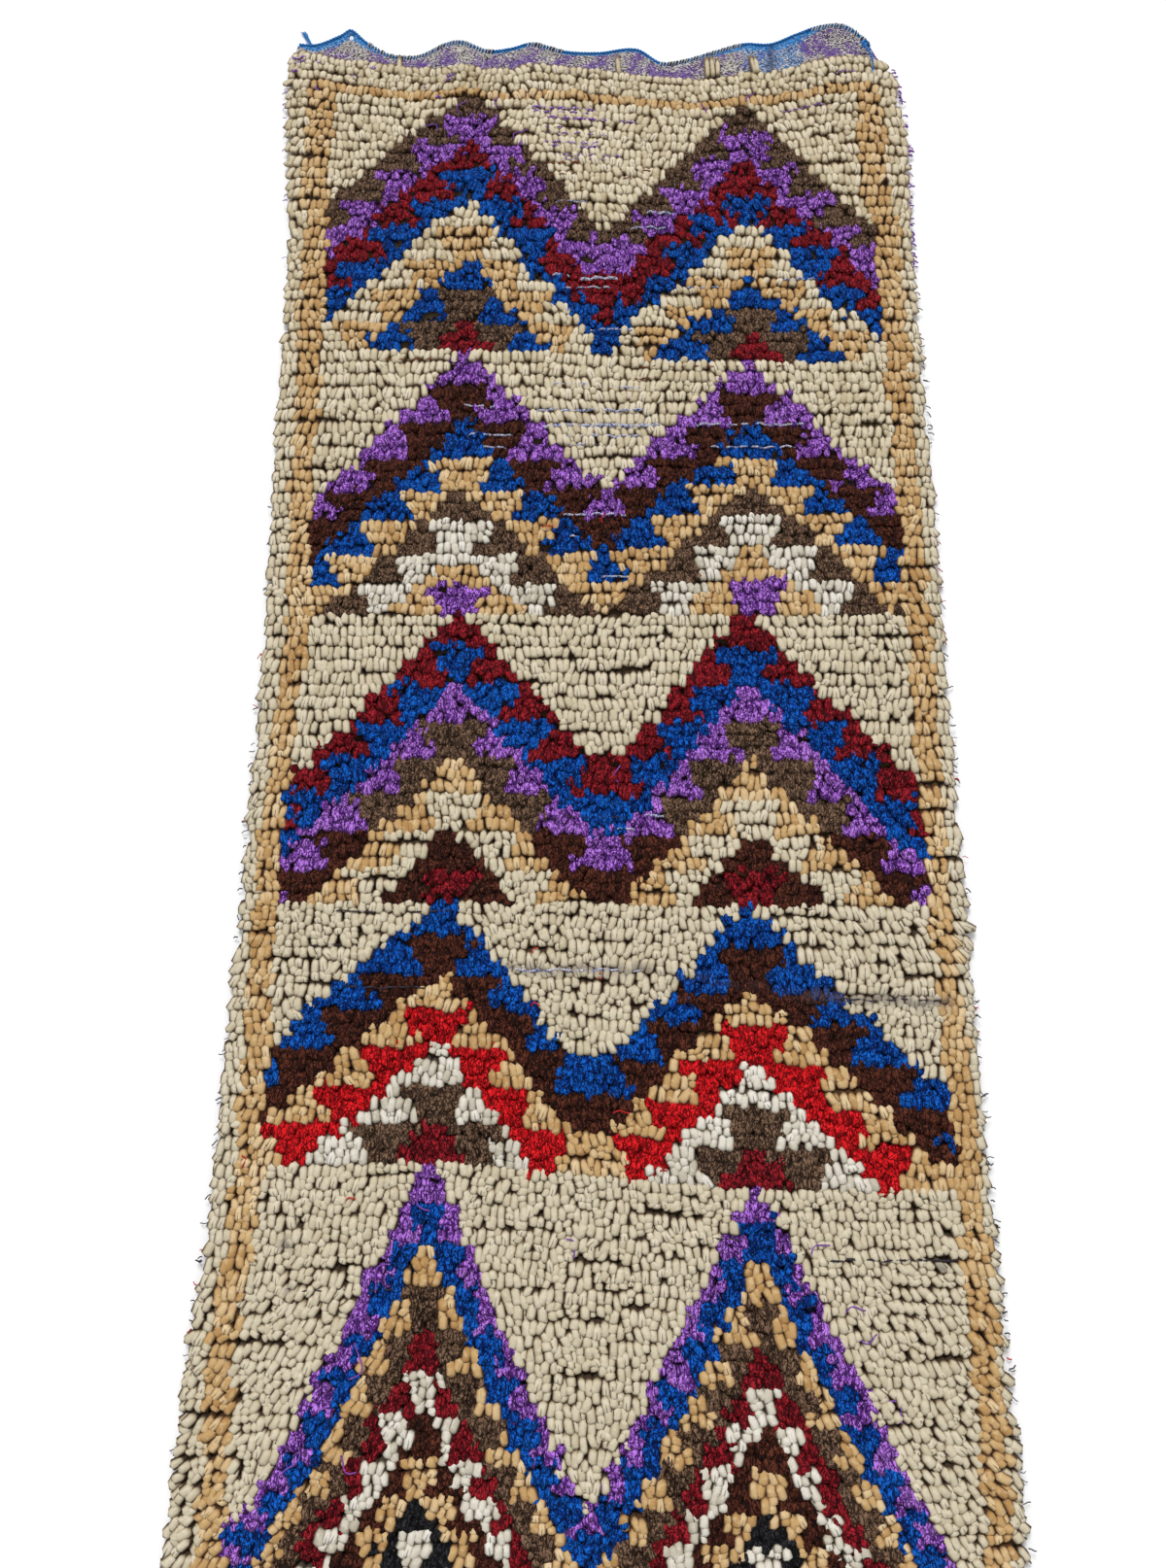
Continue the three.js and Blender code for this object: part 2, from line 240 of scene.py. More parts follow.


# Wool of the pile. Plump yarn shows single tufts with a rim of painted shade and, here and there, a crease
# that is a groove in the bump with painted shade in it; fine yarn shows its strands, with painted highlights
# along them and painted shade between them. Both get painted shade where tufts meet, under the row above and
# low in the pile.
def woolFinish(name, yarn, fine):
    finish = Finish(name, sheen=0.0 if fine else plumpTuft["sheen"])
    if fine:
        finish.shader.inputs["Specular IOR Level"].default_value = fineTuft["shine"]
    tone = {key: paint(*value) for key, value in yarn.items()}
    tuft = finish.attribute("tuft")
    crest = finish.attribute("crest")
    soil = finish.attribute("soil")
    lie = finish.attribute("lie", 1)
    across, along = finish.parts(lie)[:2]
    place = finish.node("ShaderNodeTexCoord", {}, {}, 3)
    patches = finish.noise(place, woolLook["patches"], 2.0)
    fuzz = finish.noise(place, woolLook["fuzz"], 2.0)
    wobble = (fuzz - 0.5) * 0.3
    shade = tuft * 0.6 + patches * 0.6 - 0.12
    colour = finish.mix(shade.ramp(0.45, 0.95), tone["top"], tone["light"])
    colour = finish.mix(1 - shade.ramp(0.1, 0.5), colour, tone["dull"])
    if fine:
        drawn = finish.stretched(place, (1.0, 0.42, 0.8))
        crossing = finish.stretched(place, (0.85, 0.6, 1.0))
        strand = finish.noise(drawn, woolLook["strands"], 0.0, 0.5, 0.6) - 0.5
        cross = finish.noise(crossing, woolLook["crossStrands"], 0.0, 0.5, 0.6) - 0.5
        strand = strand.size().ramp(0.0, 0.12).smaller(cross.size().ramp(0.0, 0.08))
        # Painted highlights along the strands, and painted shade between them
        colour = finish.mix(strand.ramp(0.4, 0.9) * fuzz.ramp(0.36, 0.56), colour, tone["light"])
        colour = finish.mix((1 - strand.ramp(0.0, 0.7)) * 0.85, colour, tone["deep"])
        height = strand
        # Painted shade at the tuft's sides, at its root under the row above, and low in the pile
        sides = 1 - (across + wobble * 0.4).size().ramp(*fineTuft["darkSides"])
        start = (along + wobble * 0.4).ramp(*fineTuft["darkRoot"])
        dark = 1 - sides * start * crest.ramp(*fineTuft["darkFoot"])
    else:
        fibre = finish.noise(finish.stretched(lie, (9.0, 1.6, 1.0)), woolLook["fibre"], 3.0, 0.6)
        # Crease down the middle of some tufts: a groove in the bump, with painted shade in its colour
        crease = 1 - (across + wobble * 0.6).size().ramp(0.0, plumpTuft["crease"])
        crease = crease * tuft.ramp(*plumpTuft["creased"]) * along.ramp(0.5, 0.75)
        rounded = along - across * across * plumpTuft["rounding"]
        # Rim of painted shade: browner at the tuft's sides, at its root under the row above, and at its tip
        rim = (across + wobble * 0.3).size().ramp(*plumpTuft["rimSides"]) * 0.9
        rim = rim.larger(1 - rounded.ramp(*plumpTuft["rimRoot"]))
        rim = rim.larger((along + wobble * 0.4).ramp(*plumpTuft["rimTip"]) * 0.8)
        if "cool" in tone:
            up = finish.parts(place)[1]
            colour = finish.mix((1 - up.ramp(-0.3, 1.0)) * 0.6, colour, tone["cool"])
            # The painted shade deep in the pile is lighter towards the top end
            tone["deep"] = finish.mix(up.ramp(0.2, 0.9) * 0.6, tone["deep"], tone["rim"])
        # Brown rim of painted shade
        colour = finish.mix(rim * 0.9, colour, tone["rim"])
        colour = finish.mix((1 - fibre.ramp(0.32, 0.5)) * 0.45, colour, tone["dull"])
        colour = finish.mix(fuzz.ramp(0.5, 0.66) * 0.35, colour, tone["light"])
        # Painted shade in the crease
        colour = finish.mix(crease * 0.8, colour, tone["rim"])
        height = fibre * 0.5 + fuzz * 0.7 - crease
        # Painted shade at the tuft's sides and tip front, at its root under the row above, and low in the
        # pile
        sides = (across + wobble * 0.2).size().ramp(*plumpTuft["darkSides"])
        sides = 1 - sides.larger(along.ramp(*plumpTuft["darkTip"]))
        start = (rounded + wobble * 0.3).ramp(*plumpTuft["darkRoot"])
        dark = 1 - sides * start * crest.ramp(*plumpTuft["darkFoot"])
    colour = finish.mix(soil * woolLook["soil"], colour, paint(*soilColour))
    # The deep colour is painted shade where tufts meet and low in the pile
    colour = finish.mix(dark, colour, tone["deep"])
    finish.wear(colour, woolLook["roughness"] + height * 0.15, height, 0.9, woolLook["bump"])
    return finish.material


# Spun yarn that isn't pile: cord, stitches, wefts and loose ends
spunLook = {
    "fibre": 900.0,
    "patches": 90.0,
    "flecks": 330.0,
    "roughness": 0.82,
    "bump": 0.0005,
    "sheen": 0.03,
}


def spunFinish(name, yarn, stray=None):
    finish = Finish(name, sheen=spunLook["sheen"])
    place = finish.node("ShaderNodeTexCoord", {}, {}, 3)
    fibre = finish.noise(place, spunLook["fibre"], 1.0)
    patches = finish.noise(place, spunLook["patches"], 2.0)
    colour = finish.mix(fibre.ramp(0.4, 0.6), paint(*yarn["dull"]), paint(*yarn["light"]))
    colour = finish.mix(patches.ramp(0.35, 0.65) * 0.5, colour, paint(*yarn["top"]))
    if stray:
        flecks = finish.noise(place, spunLook["flecks"], 1.0)
        colour = finish.mix(flecks.ramp(0.53, 0.6), colour, paint(*stray))
    finish.wear(colour, spunLook["roughness"] + fibre * 0.12, fibre, 0.5, spunLook["bump"])
    return finish.material


# Outline of the rug, as in the CAD: side edges by place along it, and the rippled top end by place across
# it, with how far the cloth and the pile reach and how high the ripples lift the cloth
sideEdges = {
    "y": [-1125, -1067, -927, -777, -627, -477, -327, -127, 73,
          273, 473, 673, 823, 923, 1023, 1055, 1078, 1100],
    "left": [426, 427, 428, 427, 422, 412, 409, 406, 405,
             407, 412, 414, 423, 432, 437, 435, 432, 428],
    "right": [430, 431, 432, 431, 428, 425, 425, 427, 426,
              429, 431, 430, 433, 437, 430, 421, 411, 397],
}
topEnd = {
    "x": [-430, -400, -365, -351, -330, -295, -255, -213, -190, -155, -120, -90, -45,
          5, 60, 95, 125, 175, 215, 254, 290, 325, 360, 385, 410],
    "reach": [1100, 1098, 1112, 1119, 1101, 1080, 1078, 1098, 1100, 1087, 1091, 1098, 1086,
              1084, 1087, 1066, 1069, 1086, 1097, 1099, 1111, 1123, 1125, 1109, 1078],
    "pile": [1077, 1076, 1067, 1063, 1062, 1056, 1048, 1050, 1056, 1050, 1049, 1055, 1051,
             1045, 1036, 1033, 1029, 1031, 1040, 1042, 1053, 1066, 1071, 1071, 1061],
    "lift": [0, 1, 4, 6, 3, 0, 0, 3, 4, 1, 1, 3, 1, 0, 3, 0, 0, 1, 3, 1, 6, 9, 8, 4, 0],
}
rug = {
    "top": 1123,          # the chart counts down from here
    "pileMiddle": 1052,   # where the pile starts, on average
    "pileFoot": -1073,
    "settle": 230,        # how far into the pile the ripples of the top end run
    "bottom": -1121,
    "bottomWave": 4,
    "bottomLength": 260,  # from one wave of the bottom end to the next
    "cloth": 3,
    "cordRadius": 2,
    "sewn": 0.6,          # how far the cloth reaches into the cord
}


# A smooth curve through one column of a table, as in the CAD
def readTable(table, place, column, at):
    places = np.array(table[place], float)
    values = np.array(table[column], float)
    at = np.clip(at, places[0], places[-1])
    i = np.clip(np.searchsorted(places, at, side="left") - 1, 0, len(places) - 2)
    before = np.maximum(i - 1, 0)
    after = np.minimum(i + 2, len(places) - 1)
    span = places[i + 1] - places[i]
    slopeFrom = (values[i + 1] - values[before]) / (places[i + 1] - places[before])
    slopeTo = (values[after] - values[i]) / (places[after] - places[i])
    t = (at - places[i]) / span
    rest = 1 - t
    ends = values[i] * (1 + 2 * t) * rest * rest + values[i + 1] * (3 - 2 * t) * t * t
    return ends + span * t * rest * (slopeFrom * rest - slopeTo * t)


def leftEdge(y):
    return -readTable(sideEdges, "y", "left", y)


def rightEdge(y):
    return readTable(sideEdges, "y", "right", y)


def topReach(x):
    return readTable(topEnd, "x", "reach", x)


def topPile(x):
    return readTable(topEnd, "x", "pile", x)


def topLift(x):
    return np.maximum(readTable(topEnd, "x", "lift", x), 0)


def clothEdge(x):
    return topReach(x) - 2 * rug["cordRadius"] + rug["sewn"]


# Height along the rug of a row that lies at base where nothing ripples
def rowHeight(base, x):
    follow = np.clip(1 - (rug["pileMiddle"] - base) / rug["settle"], 0, 1)
    return base + follow * (topPile(x) - rug["pileMiddle"])


def smoothStep(value, low, high):
    t = np.clip((value - low) / (high - low), 0, 1)
    return t * t * (3 - 2 * t)


# Lines of the pattern, in millimetres down the rug, at its left and its right peaks
lines = {
    "left": [71, 112, 160, 205, 250, 300, 345, 400, 445, 497, 540, 595, 648, 702, 750, 790, 838, 880,
             920, 960, 1010, 1058, 1103, 1145, 1192, 1238, 1277, 1312, 1357, 1397, 1437, 1478, 1518,
             1562, 1600, 1640, 1682, 1727, 1767, 1805, 1848, 1880, 1908, 1943, 1980, 2018, 2055,
             2100, 2146, 2196],
    "right": [71, 113, 163, 212, 260, 313, 360, 415, 460, 512, 558, 605, 655, 702, 742, 783, 825, 873,
              919, 965, 1012, 1058, 1103, 1155, 1200, 1240, 1280, 1328, 1382, 1415, 1457, 1503, 1545,
              1588, 1620, 1660, 1700, 1742, 1780, 1818, 1855, 1895, 1925, 1960, 1996, 2030, 2065,
              2108, 2150, 2196],
    "rows": 3,            # rows of knots between two lines
    "drift": (-172, 205),  # where the lines go from the left peaks' to the right peaks'
}
# Each band zigzags over two peaks. It is made of zones two lines deep, each with an outer and an inner yarn.
# Valley and feet say how many lines the zigzag has dropped at a place across. The first band's right half is
# knotted a little lower than the rows' own lines, its outer yarn stops short of the valley, and the valley
# ends in a tip of another yarn.
bands = [
    {
        "first": 1, "last": 10, "peaks": (-172, 209),
        "valley": ((-13, 4.05), (13, 5.1), (39, 4.05)),
        "feet": ((-380, 4.5), (387, 4.4)),
        "right": [140, 187, 240, 295, 340, 380, 438, 480, 515, 558],
        "stops": {"line": 5, "half": 26},
        "tip": {"line": 6, "depth": 4, "half": 52, "yarn": "darkRed"},
        "zones": [("midBrown", "purple"), ("darkRed", "blue"), ("cream", "gold"), ("blue", "midBrown"),
                  ("darkRed", "darkRed")],
    },
    {
        "first": 10, "last": 18, "peaks": (-170, 200),
        "valley": ((12, 4.0),),
        "feet": ((-365, 4.5), (385, 4.3)),
        "zones": [("purple", "darkBrown"), ("blue", "gold"), ("midBrown", "white"), ("gold", "purple")],
    },
    {
        "first": 18, "last": 26, "peaks": (-167, 185),
        "valley": ((-5, 3.97), (29, 3.97)),
        "feet": ((-360, 4.65), (385, 4.9)),
        "zones": [("darkRed", "blue"), ("purple", "midBrown"), ("gold", "cream"),
                  ("darkBrown", "darkRed")],
        "darkens": 6,
    },
    {
        "first": 26, "last": 33, "peaks": (-173, 175),
        "valley": ((-26, 3.97), (14, 3.97)),
        "feet": ((-360, 3.9), (375, 4.45)),
        "zones": [("blue", "darkBrown"), ("gold", "brightRed"), ("white", "midBrown"),
                  ("darkRed", "darkRed")],
    },
    {
        "first": 33, "last": 46, "peaks": (-177, 173),
        "valley": ((-8, 8.3),),
        "feet": ((-354, 8.7), (385, 10.9)),
        "zones": [("purple", "blue"), ("gold", "midBrown"), ("darkRed", "white"), ("darkBrown", "gold"),
                  ("black", "white"), ("gold", "darkRed"), ("blue", "blue")],
    },
]
# Within a line the inner yarn gives way to the outer one, in steps of whole knots
steps = {"lead": 0.1, "sweep": 1.62, "peak": 4, "uneven": 0.06, "blur": 1.5}
# Gold line around the field: the middle of each side by place down the rug, and half its width
goldBorder = {
    "down": [100, 300, 330, 560, 600, 700, 900, 1000, 1100, 1200, 1300, 1555, 1640, 1700, 1900],
    "left": [-385, -385, -378, -376, -373, -373, -365, -365, -370, -376, -376, -372, -374, -384, -382],
    "right": [387, 387, 397, 398, 396, 396, 396, 396, 396, 396, 396, 402, 402, 402, 402],
    "half": [18, 18, 17, 16.5, 15.5, 15, 14.5, 14, 13.5, 12.5, 13, 14.5, 14.5, 14.5, 14.5],
    "topRow": 3,
    "footRow": 142,
}


def yarnOfBand(band, x, down, unevenness):
    left = np.array(lines["left"][band["first"]:band["last"] + 1], float)
    right = np.array(band.get("right", lines["right"][band["first"]:band["last"] + 1]), float)
    firstPeak, lastPeak = band["peaks"]
    share = np.clip((x - firstPeak) / (lastPeak - firstPeak), 0, 1)[:, None]
    depths = left * (1 - share) + right * share
    passed = (down[:, None] >= depths).sum(1) - 1
    inside = (passed >= 0) & (passed < len(left) - 1)
    passed = np.clip(passed, 0, len(left) - 2)
    knots = np.arange(len(x))
    start = depths[knots, passed]
    along = np.clip((down - start) / (depths[knots, passed + 1] - start), 0, 1)
    (leftFoot, leftFall), (rightFoot, rightFall) = band["feet"]
    stations = [leftFoot, firstPeak - steps["peak"], firstPeak + steps["peak"]]
    stations += [place for place, drop in band["valley"]]
    stations += [lastPeak - steps["peak"], lastPeak + steps["peak"], rightFoot]
    falls = [leftFall, 0, 0] + [drop for place, drop in band["valley"]] + [0, 0, rightFall]
    fall = np.interp(x, stations, falls)
    depth = passed + along - fall + unevenness
    zone = np.floor(depth / 2).astype(int)
    inner = depth - 2 * zone > steps["lead"] + steps["sweep"] * along
    fromValley = abs(x - band["valley"][len(band["valley"]) // 2][0])
    if "stops" in band:
        stops = band["stops"]
        inner = inner | ((zone == 0) & (passed >= stops["line"]) & (fromValley < stops["half"]))
    named = np.full(len(x), "", dtype=object)
    for number, (outerYarn, innerYarn) in enumerate(band["zones"]):
        here = inside & (zone == number)
        named[here & ~inner] = outerYarn
        named[here & inner] = innerYarn
    if "darkens" in band:
        named[(named == "midBrown") & (passed >= band["darkens"])] = "darkBrown"
    if "tip" in band:
        tip = band["tip"]
        named[(passed == tip["line"]) & (depth < tip["depth"]) & (fromValley < tip["half"])] = tip["yarn"]
    return named


# Every knot of the pile, row by row, in millimetres and degrees
knotting = {
    "pitch": 8.3,
    "edge": 5,
    "tuck": 4.5,          # how far a tuft starts under the row above
    "overlap": 3.5,       # and how far it lies over the row below
    "sideways": 0.8,
    "crowding": 2.2,      # how far knots crowd together along a row
    "waver": 0.9,
    "uneven": 1.3,
    "lean": 9,
    "swirl": 10,
    "edgeTurn": 12,
    "comb": 34,
    "gap": 5.5,           # how wide the gap opens where two rows part
    "gapAbove": 1.1,
    "wide": (0.84, 1.16),
    "long": (0.88, 1.12),
}
# Where the pile is combed outwards: down the rug from both sides of its middle, and in a patch at the right
combed = {
    "down": (1560, 1760),
    "middle": 90,
    "reach": 220,
    "patch": {"x": (180, 300), "from": (1270, 1300), "to": (1340, 1380), "strength": 0.6},
}
# Long tufts that hang over the bare strip of the top end: place across, down the rug, and length
strayTufts = [(-279, 44, 44), (33, 46, 40), (161, 48, 42), (168, 46, 44),
              (176, 52, 36), (225, 46, 38), (230, 50, 34)]
strayLook = {"turn": 0.06, "wide": 5.6, "yarn": "cream", "edge": 0.0}
# Stains, in millimetres: down the rug at the left and right ends of each, how far across and how wide
stains = [
    {"x": (-95, 60), "down": (1356, 1357), "width": 4.5, "strength": 0.75},
    {"x": (240, 398), "down": (1385, 1394), "width": 5.5, "strength": 0.9},
    {"x": (60, 240), "down": (1357, 1385), "width": 4, "strength": 0.25},
    {"x": (-330, -323), "down": (1643, 1644), "width": 4, "strength": 1.0},
    {"x": (-321, -317), "down": (1688, 1688), "width": 3.5, "strength": 0.9},
    {"x": (362, 368), "down": (1664, 1668), "width": 4, "strength": 0.9},
]


def soilAt(x, down):
    soil = np.zeros(len(x))
    for stain in stains:
        middle = np.interp(x, stain["x"], stain["down"])
        middle = middle + 1.6 * np.sin(x / 11) + 1.1 * np.sin(x / 4.7)
        start, end = stain["x"]
        within = smoothStep(x, start - 6, start) * (1 - smoothStep(x, end, end + 6))
        strength = stain["strength"] * within * np.exp(-((down - middle) / stain["width"]) ** 2)
        soil = np.maximum(soil, strength)
    return soil


def wavesFor(count):
    return dice.uniform(0, 2 * math.pi, count)


# Yarn of each knot in a row: the ground, then the bands, then the gold line and what lies outside it
def yarnsOfRow(row, x, down):
    count = len(x)
    yarn = np.full(count, "cream", dtype=object)
    unevenness = dice.normal(0, steps["uneven"], count)
    for band in bands:
        named = yarnOfBand(band, x + dice.normal(0, steps["blur"], count), down, unevenness)
        yarn = np.where(named != "", named, yarn)
    borderLeft = np.interp(down, goldBorder["down"], goldBorder["left"])
    borderRight = np.interp(down, goldBorder["down"], goldBorder["right"])
    half = np.interp(down, goldBorder["down"], goldBorder["half"]) + dice.normal(0, steps["blur"], count)
    yarn[(x < borderLeft + half) | (x > borderRight - half)] = "cream"
    if goldBorder["topRow"] <= row <= goldBorder["footRow"]:
        yarn[(abs(x - borderLeft) < half) | (abs(x - borderRight) < half)] = "gold"
    if row in (goldBorder["topRow"], goldBorder["footRow"]):
        yarn[(x > borderLeft) & (x < borderRight)] = "gold"
    return yarn


# How far each knot of a row is turned from straight down the rug, in degrees
def turnsOfRow(x, y, down, edge, swirls):
    swirl = np.sin(x / 41 + y / 67 + swirls[0]) + np.sin(x / 23 - y / 37 + swirls[1])
    swirl = swirl * 0.6 + np.sin(x / 97 + y / 29 + swirls[2]) * 0.5
    aside = np.clip((abs(x) - combed["middle"]) / combed["reach"], 0, 1) * np.sign(x)
    patch = combed["patch"]
    inPatch = smoothStep(x, *patch["x"]) * smoothStep(down, *patch["from"])
    inPatch = inPatch * (1 - smoothStep(down, *patch["to"]))
    comb = smoothStep(down, *combed["down"]) * aside + inPatch * patch["strength"]
    turn = swirl * knotting["swirl"] + comb * knotting["comb"] + dice.normal(0, knotting["lean"], len(x))
    return turn - edge * dice.uniform(0, knotting["edgeTurn"], len(x))


def layKnots():
    columns = {key: [] for key in ["x", "y", "turn", "wide", "long", "down", "yarn", "edge"]}
    perLine = lines["rows"]
    places = np.arange((len(lines["left"]) - 1) * perLine + 1) / perLine
    leftRows = np.interp(places, range(len(lines["left"])), lines["left"])
    rightRows = np.interp(places, range(len(lines["right"])), lines["right"])
    swirls = wavesFor(6)
    for row in range(len(leftRows) - 1):
        middle = rug["top"] - (leftRows[row] + rightRows[row]) / 2
        left = leftEdge(middle) + knotting["edge"]
        right = rightEdge(middle) - knotting["edge"]
        count = int((right - left) / knotting["pitch"])
        x = np.linspace(left, right, count) + dice.uniform(-0.5, 0.5) * knotting["pitch"]
        x = x + np.sin(x / 47 + dice.uniform(0, 6)) * knotting["crowding"]
        x = np.clip(x + dice.normal(0, knotting["sideways"], count), left, right)
        share = smoothStep(x, *lines["drift"])
        start = leftRows[row] * (1 - share) + rightRows[row] * share
        end = leftRows[row + 1] * (1 - share) + rightRows[row + 1] * share
        deep = end - start
        phases = wavesFor(5)
        waver = np.sin(x / 37 + phases[0]) + np.sin(x / 17 + phases[1]) * 0.6
        opening = np.sin(x / 53 + phases[2]) + np.sin(x / 23 + phases[3]) * 0.7 + np.sin(x / 131 + phases[4])
        gap = np.clip(opening - knotting["gapAbove"], 0, 1) * knotting["gap"]
        y = rowHeight(rug["top"] - start, x) + waver * knotting["waver"]
        y = y + dice.normal(0, knotting["uneven"], count)
        down = rug["top"] - y + deep / 2
        edge = np.exp(-(x - left) / 8) - np.exp(-(right - x) / 8)
        columns["yarn"].append(yarnsOfRow(row, x, down))
        columns["turn"].append(np.radians(turnsOfRow(x, y, down, edge, swirls)))
        columns["wide"].append((right - left) / count * dice.uniform(*knotting["wide"], count))
        reach = deep - gap + knotting["tuck"] + knotting["overlap"]
        columns["long"].append(reach * dice.uniform(*knotting["long"], count))
        columns["x"].append(x)
        columns["y"].append(y + knotting["tuck"])
        columns["down"].append(down)
        columns["edge"].append(abs(edge))
    for x, down, length in strayTufts:
        place = {"x": x, "y": rug["top"] - down, "long": length, "down": down, **strayLook}
        for key, value in place.items():
            columns[key].append(np.array([value], dtype=object if key == "yarn" else float))
    laid = {key: np.concatenate(parts) for key, parts in columns.items()}
    laid["x"] = laid["x"] - 0.55 * laid["long"] * np.sin(laid["turn"])
    laid["y"] = laid["y"] - 0.55 * laid["long"] * (1 - np.cos(laid["turn"]))
    return laid


knots = layKnots()
print("knots laid:", len(knots["x"]))


def startEdit(part, test):
    bpy.ops.object.mode_set(mode="OBJECT")
    for vertex in part.data.vertices:
        vertex.select = test(vertex.co)
    for face in part.data.polygons:
        face.select = all(part.data.vertices[i].select for i in face.vertices)
    bpy.ops.object.mode_set(mode="EDIT")
    bpy.ops.mesh.select_mode(type="VERT")


# Tufts: each shape is modelled once, lying along y with its root at the back and its blunt tip raised
petal = {"wide": 11.4, "long": 20, "thick": 10, "segments": 7, "rings": 4, "underside": -1.8, "rise": 19}
tuftTaper = {"tipHigh": 1.12, "rootHigh": 0.85}
mapLayout = {"angle_limit": math.radians(66), "island_margin": 0.03}
sortedFrom = (0.07, 0.11, 0.13)
petalShapes = [
    {"tip": 1.45, "root": 1.0, "tipSide": 0.0, "tipUp": 0.0, "blunt": 0.9},
    {"tip": 1.25, "root": 1.05, "tipSide": 1.3, "tipUp": 0.5, "blunt": 0.8},
    {"tip": 1.35, "root": 0.95, "tipSide": -1.3, "tipUp": 0.2, "blunt": 1.0},
    {"tip": 1.1, "root": 1.05, "tipSide": 0.5, "tipUp": -0.6, "blunt": 0.5},
    {"tip": 1.5, "root": 1.0, "tipSide": 0.6, "tipUp": 0.3, "blunt": 1.2},
]


# The cut of a tuft leaves its faces in an order that changes from run to run, so they are sorted by how far
# they lie from a place beside it
def sortFaces():
    bpy.context.scene.cursor.location = sortedFrom
    bpy.ops.mesh.sort_elements(type="CURSOR_DISTANCE", elements={"FACE"})
    bpy.context.scene.cursor.location = (0, 0, 0)


def makePetal(look, size):
    bpy.ops.mesh.primitive_uv_sphere_add(
        segments=size["segments"], ring_count=size["rings"], radius=0.5, rotation=(math.pi / 2, 0, 0),
    )
    part = bpy.context.object
    bpy.ops.object.transform_apply(location=False, rotation=True, scale=True)
    startEdit(part, lambda place: True)
    bpy.ops.transform.resize(value=(size["wide"] * mm, size["long"] * mm, size["thick"] * mm))
    underside = (0, 0, size["underside"] * mm)
    bpy.ops.mesh.bisect(plane_co=underside, plane_no=(0, 0, 1), use_fill=True, clear_inner=True)
    quarter = size["long"] * mm / 4
    startEdit(part, lambda place: place.y < -quarter)
    bpy.ops.transform.resize(value=(look["tip"], 1, tuftTaper["tipHigh"]))
    bpy.ops.transform.translate(value=(look["tipSide"] * mm, 0, look["tipUp"] * mm))
    startEdit(part, lambda place: place.y < -quarter * 1.85)
    bpy.ops.transform.translate(value=(0, look["blunt"] * mm, 0))
    startEdit(part, lambda place: place.y > quarter * 0.6)
    bpy.ops.transform.resize(value=(look["root"], 1, tuftTaper["rootHigh"]))
    bpy.ops.mesh.select_all(action="SELECT")
    bpy.ops.transform.rotate(value=math.radians(size["rise"]), orient_axis="X", center_override=(0, 0, 0))
    sortFaces()
    bpy.ops.uv.smart_project(**mapLayout)
    bpy.ops.object.mode_set(mode="OBJECT")
    return part


def joinShapes(parts):
    bpy.ops.object.select_all(action="DESELECT")
    for part in parts:
        part.select_set(True)
    bpy.context.view_layer.objects.active = parts[0]
    bpy.ops.object.join()
    bpy.ops.object.mode_set(mode="EDIT")
    bpy.ops.mesh.select_all(action="SELECT")
    bpy.ops.uv.smart_project(**mapLayout)
    bpy.ops.object.mode_set(mode="OBJECT")
    return parts[0]


# Finer yarn: a low lobe with loose curls over it, each pushed out step by step from a three-sided start
lobe = {"wide": 11.6, "long": 20, "thick": 8.4, "segments": 5, "rings": 4, "underside": -2.2, "rise": 19}
lobeLook = {"tip": 1.0, "root": 0.95, "tipSide": 0.0, "tipUp": 0.0, "blunt": 0.4}
curl = {"radius": 1.25, "sides": 3, "tip": 0.6}
curlShapes = [
    [
        {"at": (-3.6, 3.5, 3.4),
         "steps": ((-0.8, -3.2, 1.6), (1.4, -3.6, 0.9), (2.2, -2.6, 0.2),
                   (0.6, -3.4, -0.6), (-2.0, -2.2, -0.9))},
        {"at": (2.2, 4.5, 3.2),
         "steps": ((1.6, -2.8, 1.7), (-0.6, -3.6, 1.1), (-2.4, -2.4, 0.2),
                   (-0.4, -3.2, -0.5), (1.9, -2.6, -1.0))},
    ],
    [
        {"at": (3.8, 3.0, 3.2),
         "steps": ((-1.8, -2.6, 1.9), (-2.2, -2.2, 0.7), (0.4, -3.8, -0.2),
                   (2.0, -2.6, -0.3), (1.0, -2.8, -1.4))},
        {"at": (-1.2, 4.8, 3.6),
         "steps": ((-1.6, -3.0, 1.5), (0.4, -3.8, 1.0), (-1.2, -3.2, 0.3),
                   (-1.8, -2.2, -0.9), (1.2, -2.4, -1.2))},
    ],
    [
        {"at": (0.4, 4.0, 3.6),
         "steps": ((2.2, -2.2, 1.5), (1.0, -3.4, 0.8), (-2.4, -2.4, 0.4),
                   (-2.2, -2.8, -0.6), (0.6, -3.0, -1.3))},
        {"at": (-4.0, 2.2, 3.0),
         "steps": ((1.2, -3.4, 1.6), (2.2, -2.4, 0.9), (0.8, -3.2, -0.2),
                   (-1.4, -3.0, -0.6), (-1.2, -2.0, -1.1))},
    ],
]


def makeCurl(look):
    bpy.ops.mesh.primitive_circle_add(
        vertices=curl["sides"], radius=curl["radius"] * mm, fill_type="NGON",
        location=[value * mm for value in look["at"]], rotation=(math.pi / 2, 0, 0),
    )
    part = bpy.context.object
    bpy.ops.object.transform_apply(location=True, rotation=True, scale=True)
    bpy.ops.object.mode_set(mode="EDIT")
    bpy.ops.mesh.select_all(action="SELECT")
    for step in look["steps"]:
        move = [value * mm for value in step]
        bpy.ops.mesh.extrude_region_move(TRANSFORM_OT_translate={"value": move})
    bpy.ops.transform.resize(value=(curl["tip"], curl["tip"], curl["tip"]))
    bpy.ops.mesh.select_all(action="SELECT")
    bpy.ops.mesh.fill_holes(sides=curl["sides"])
    bpy.ops.mesh.normals_make_consistent(inside=False)
    bpy.ops.object.mode_set(mode="OBJECT")
    return part


def makeLock(curls):
    return joinShapes([makePetal(lobeLook, lobe)] + [makeCurl(look) for look in curls])


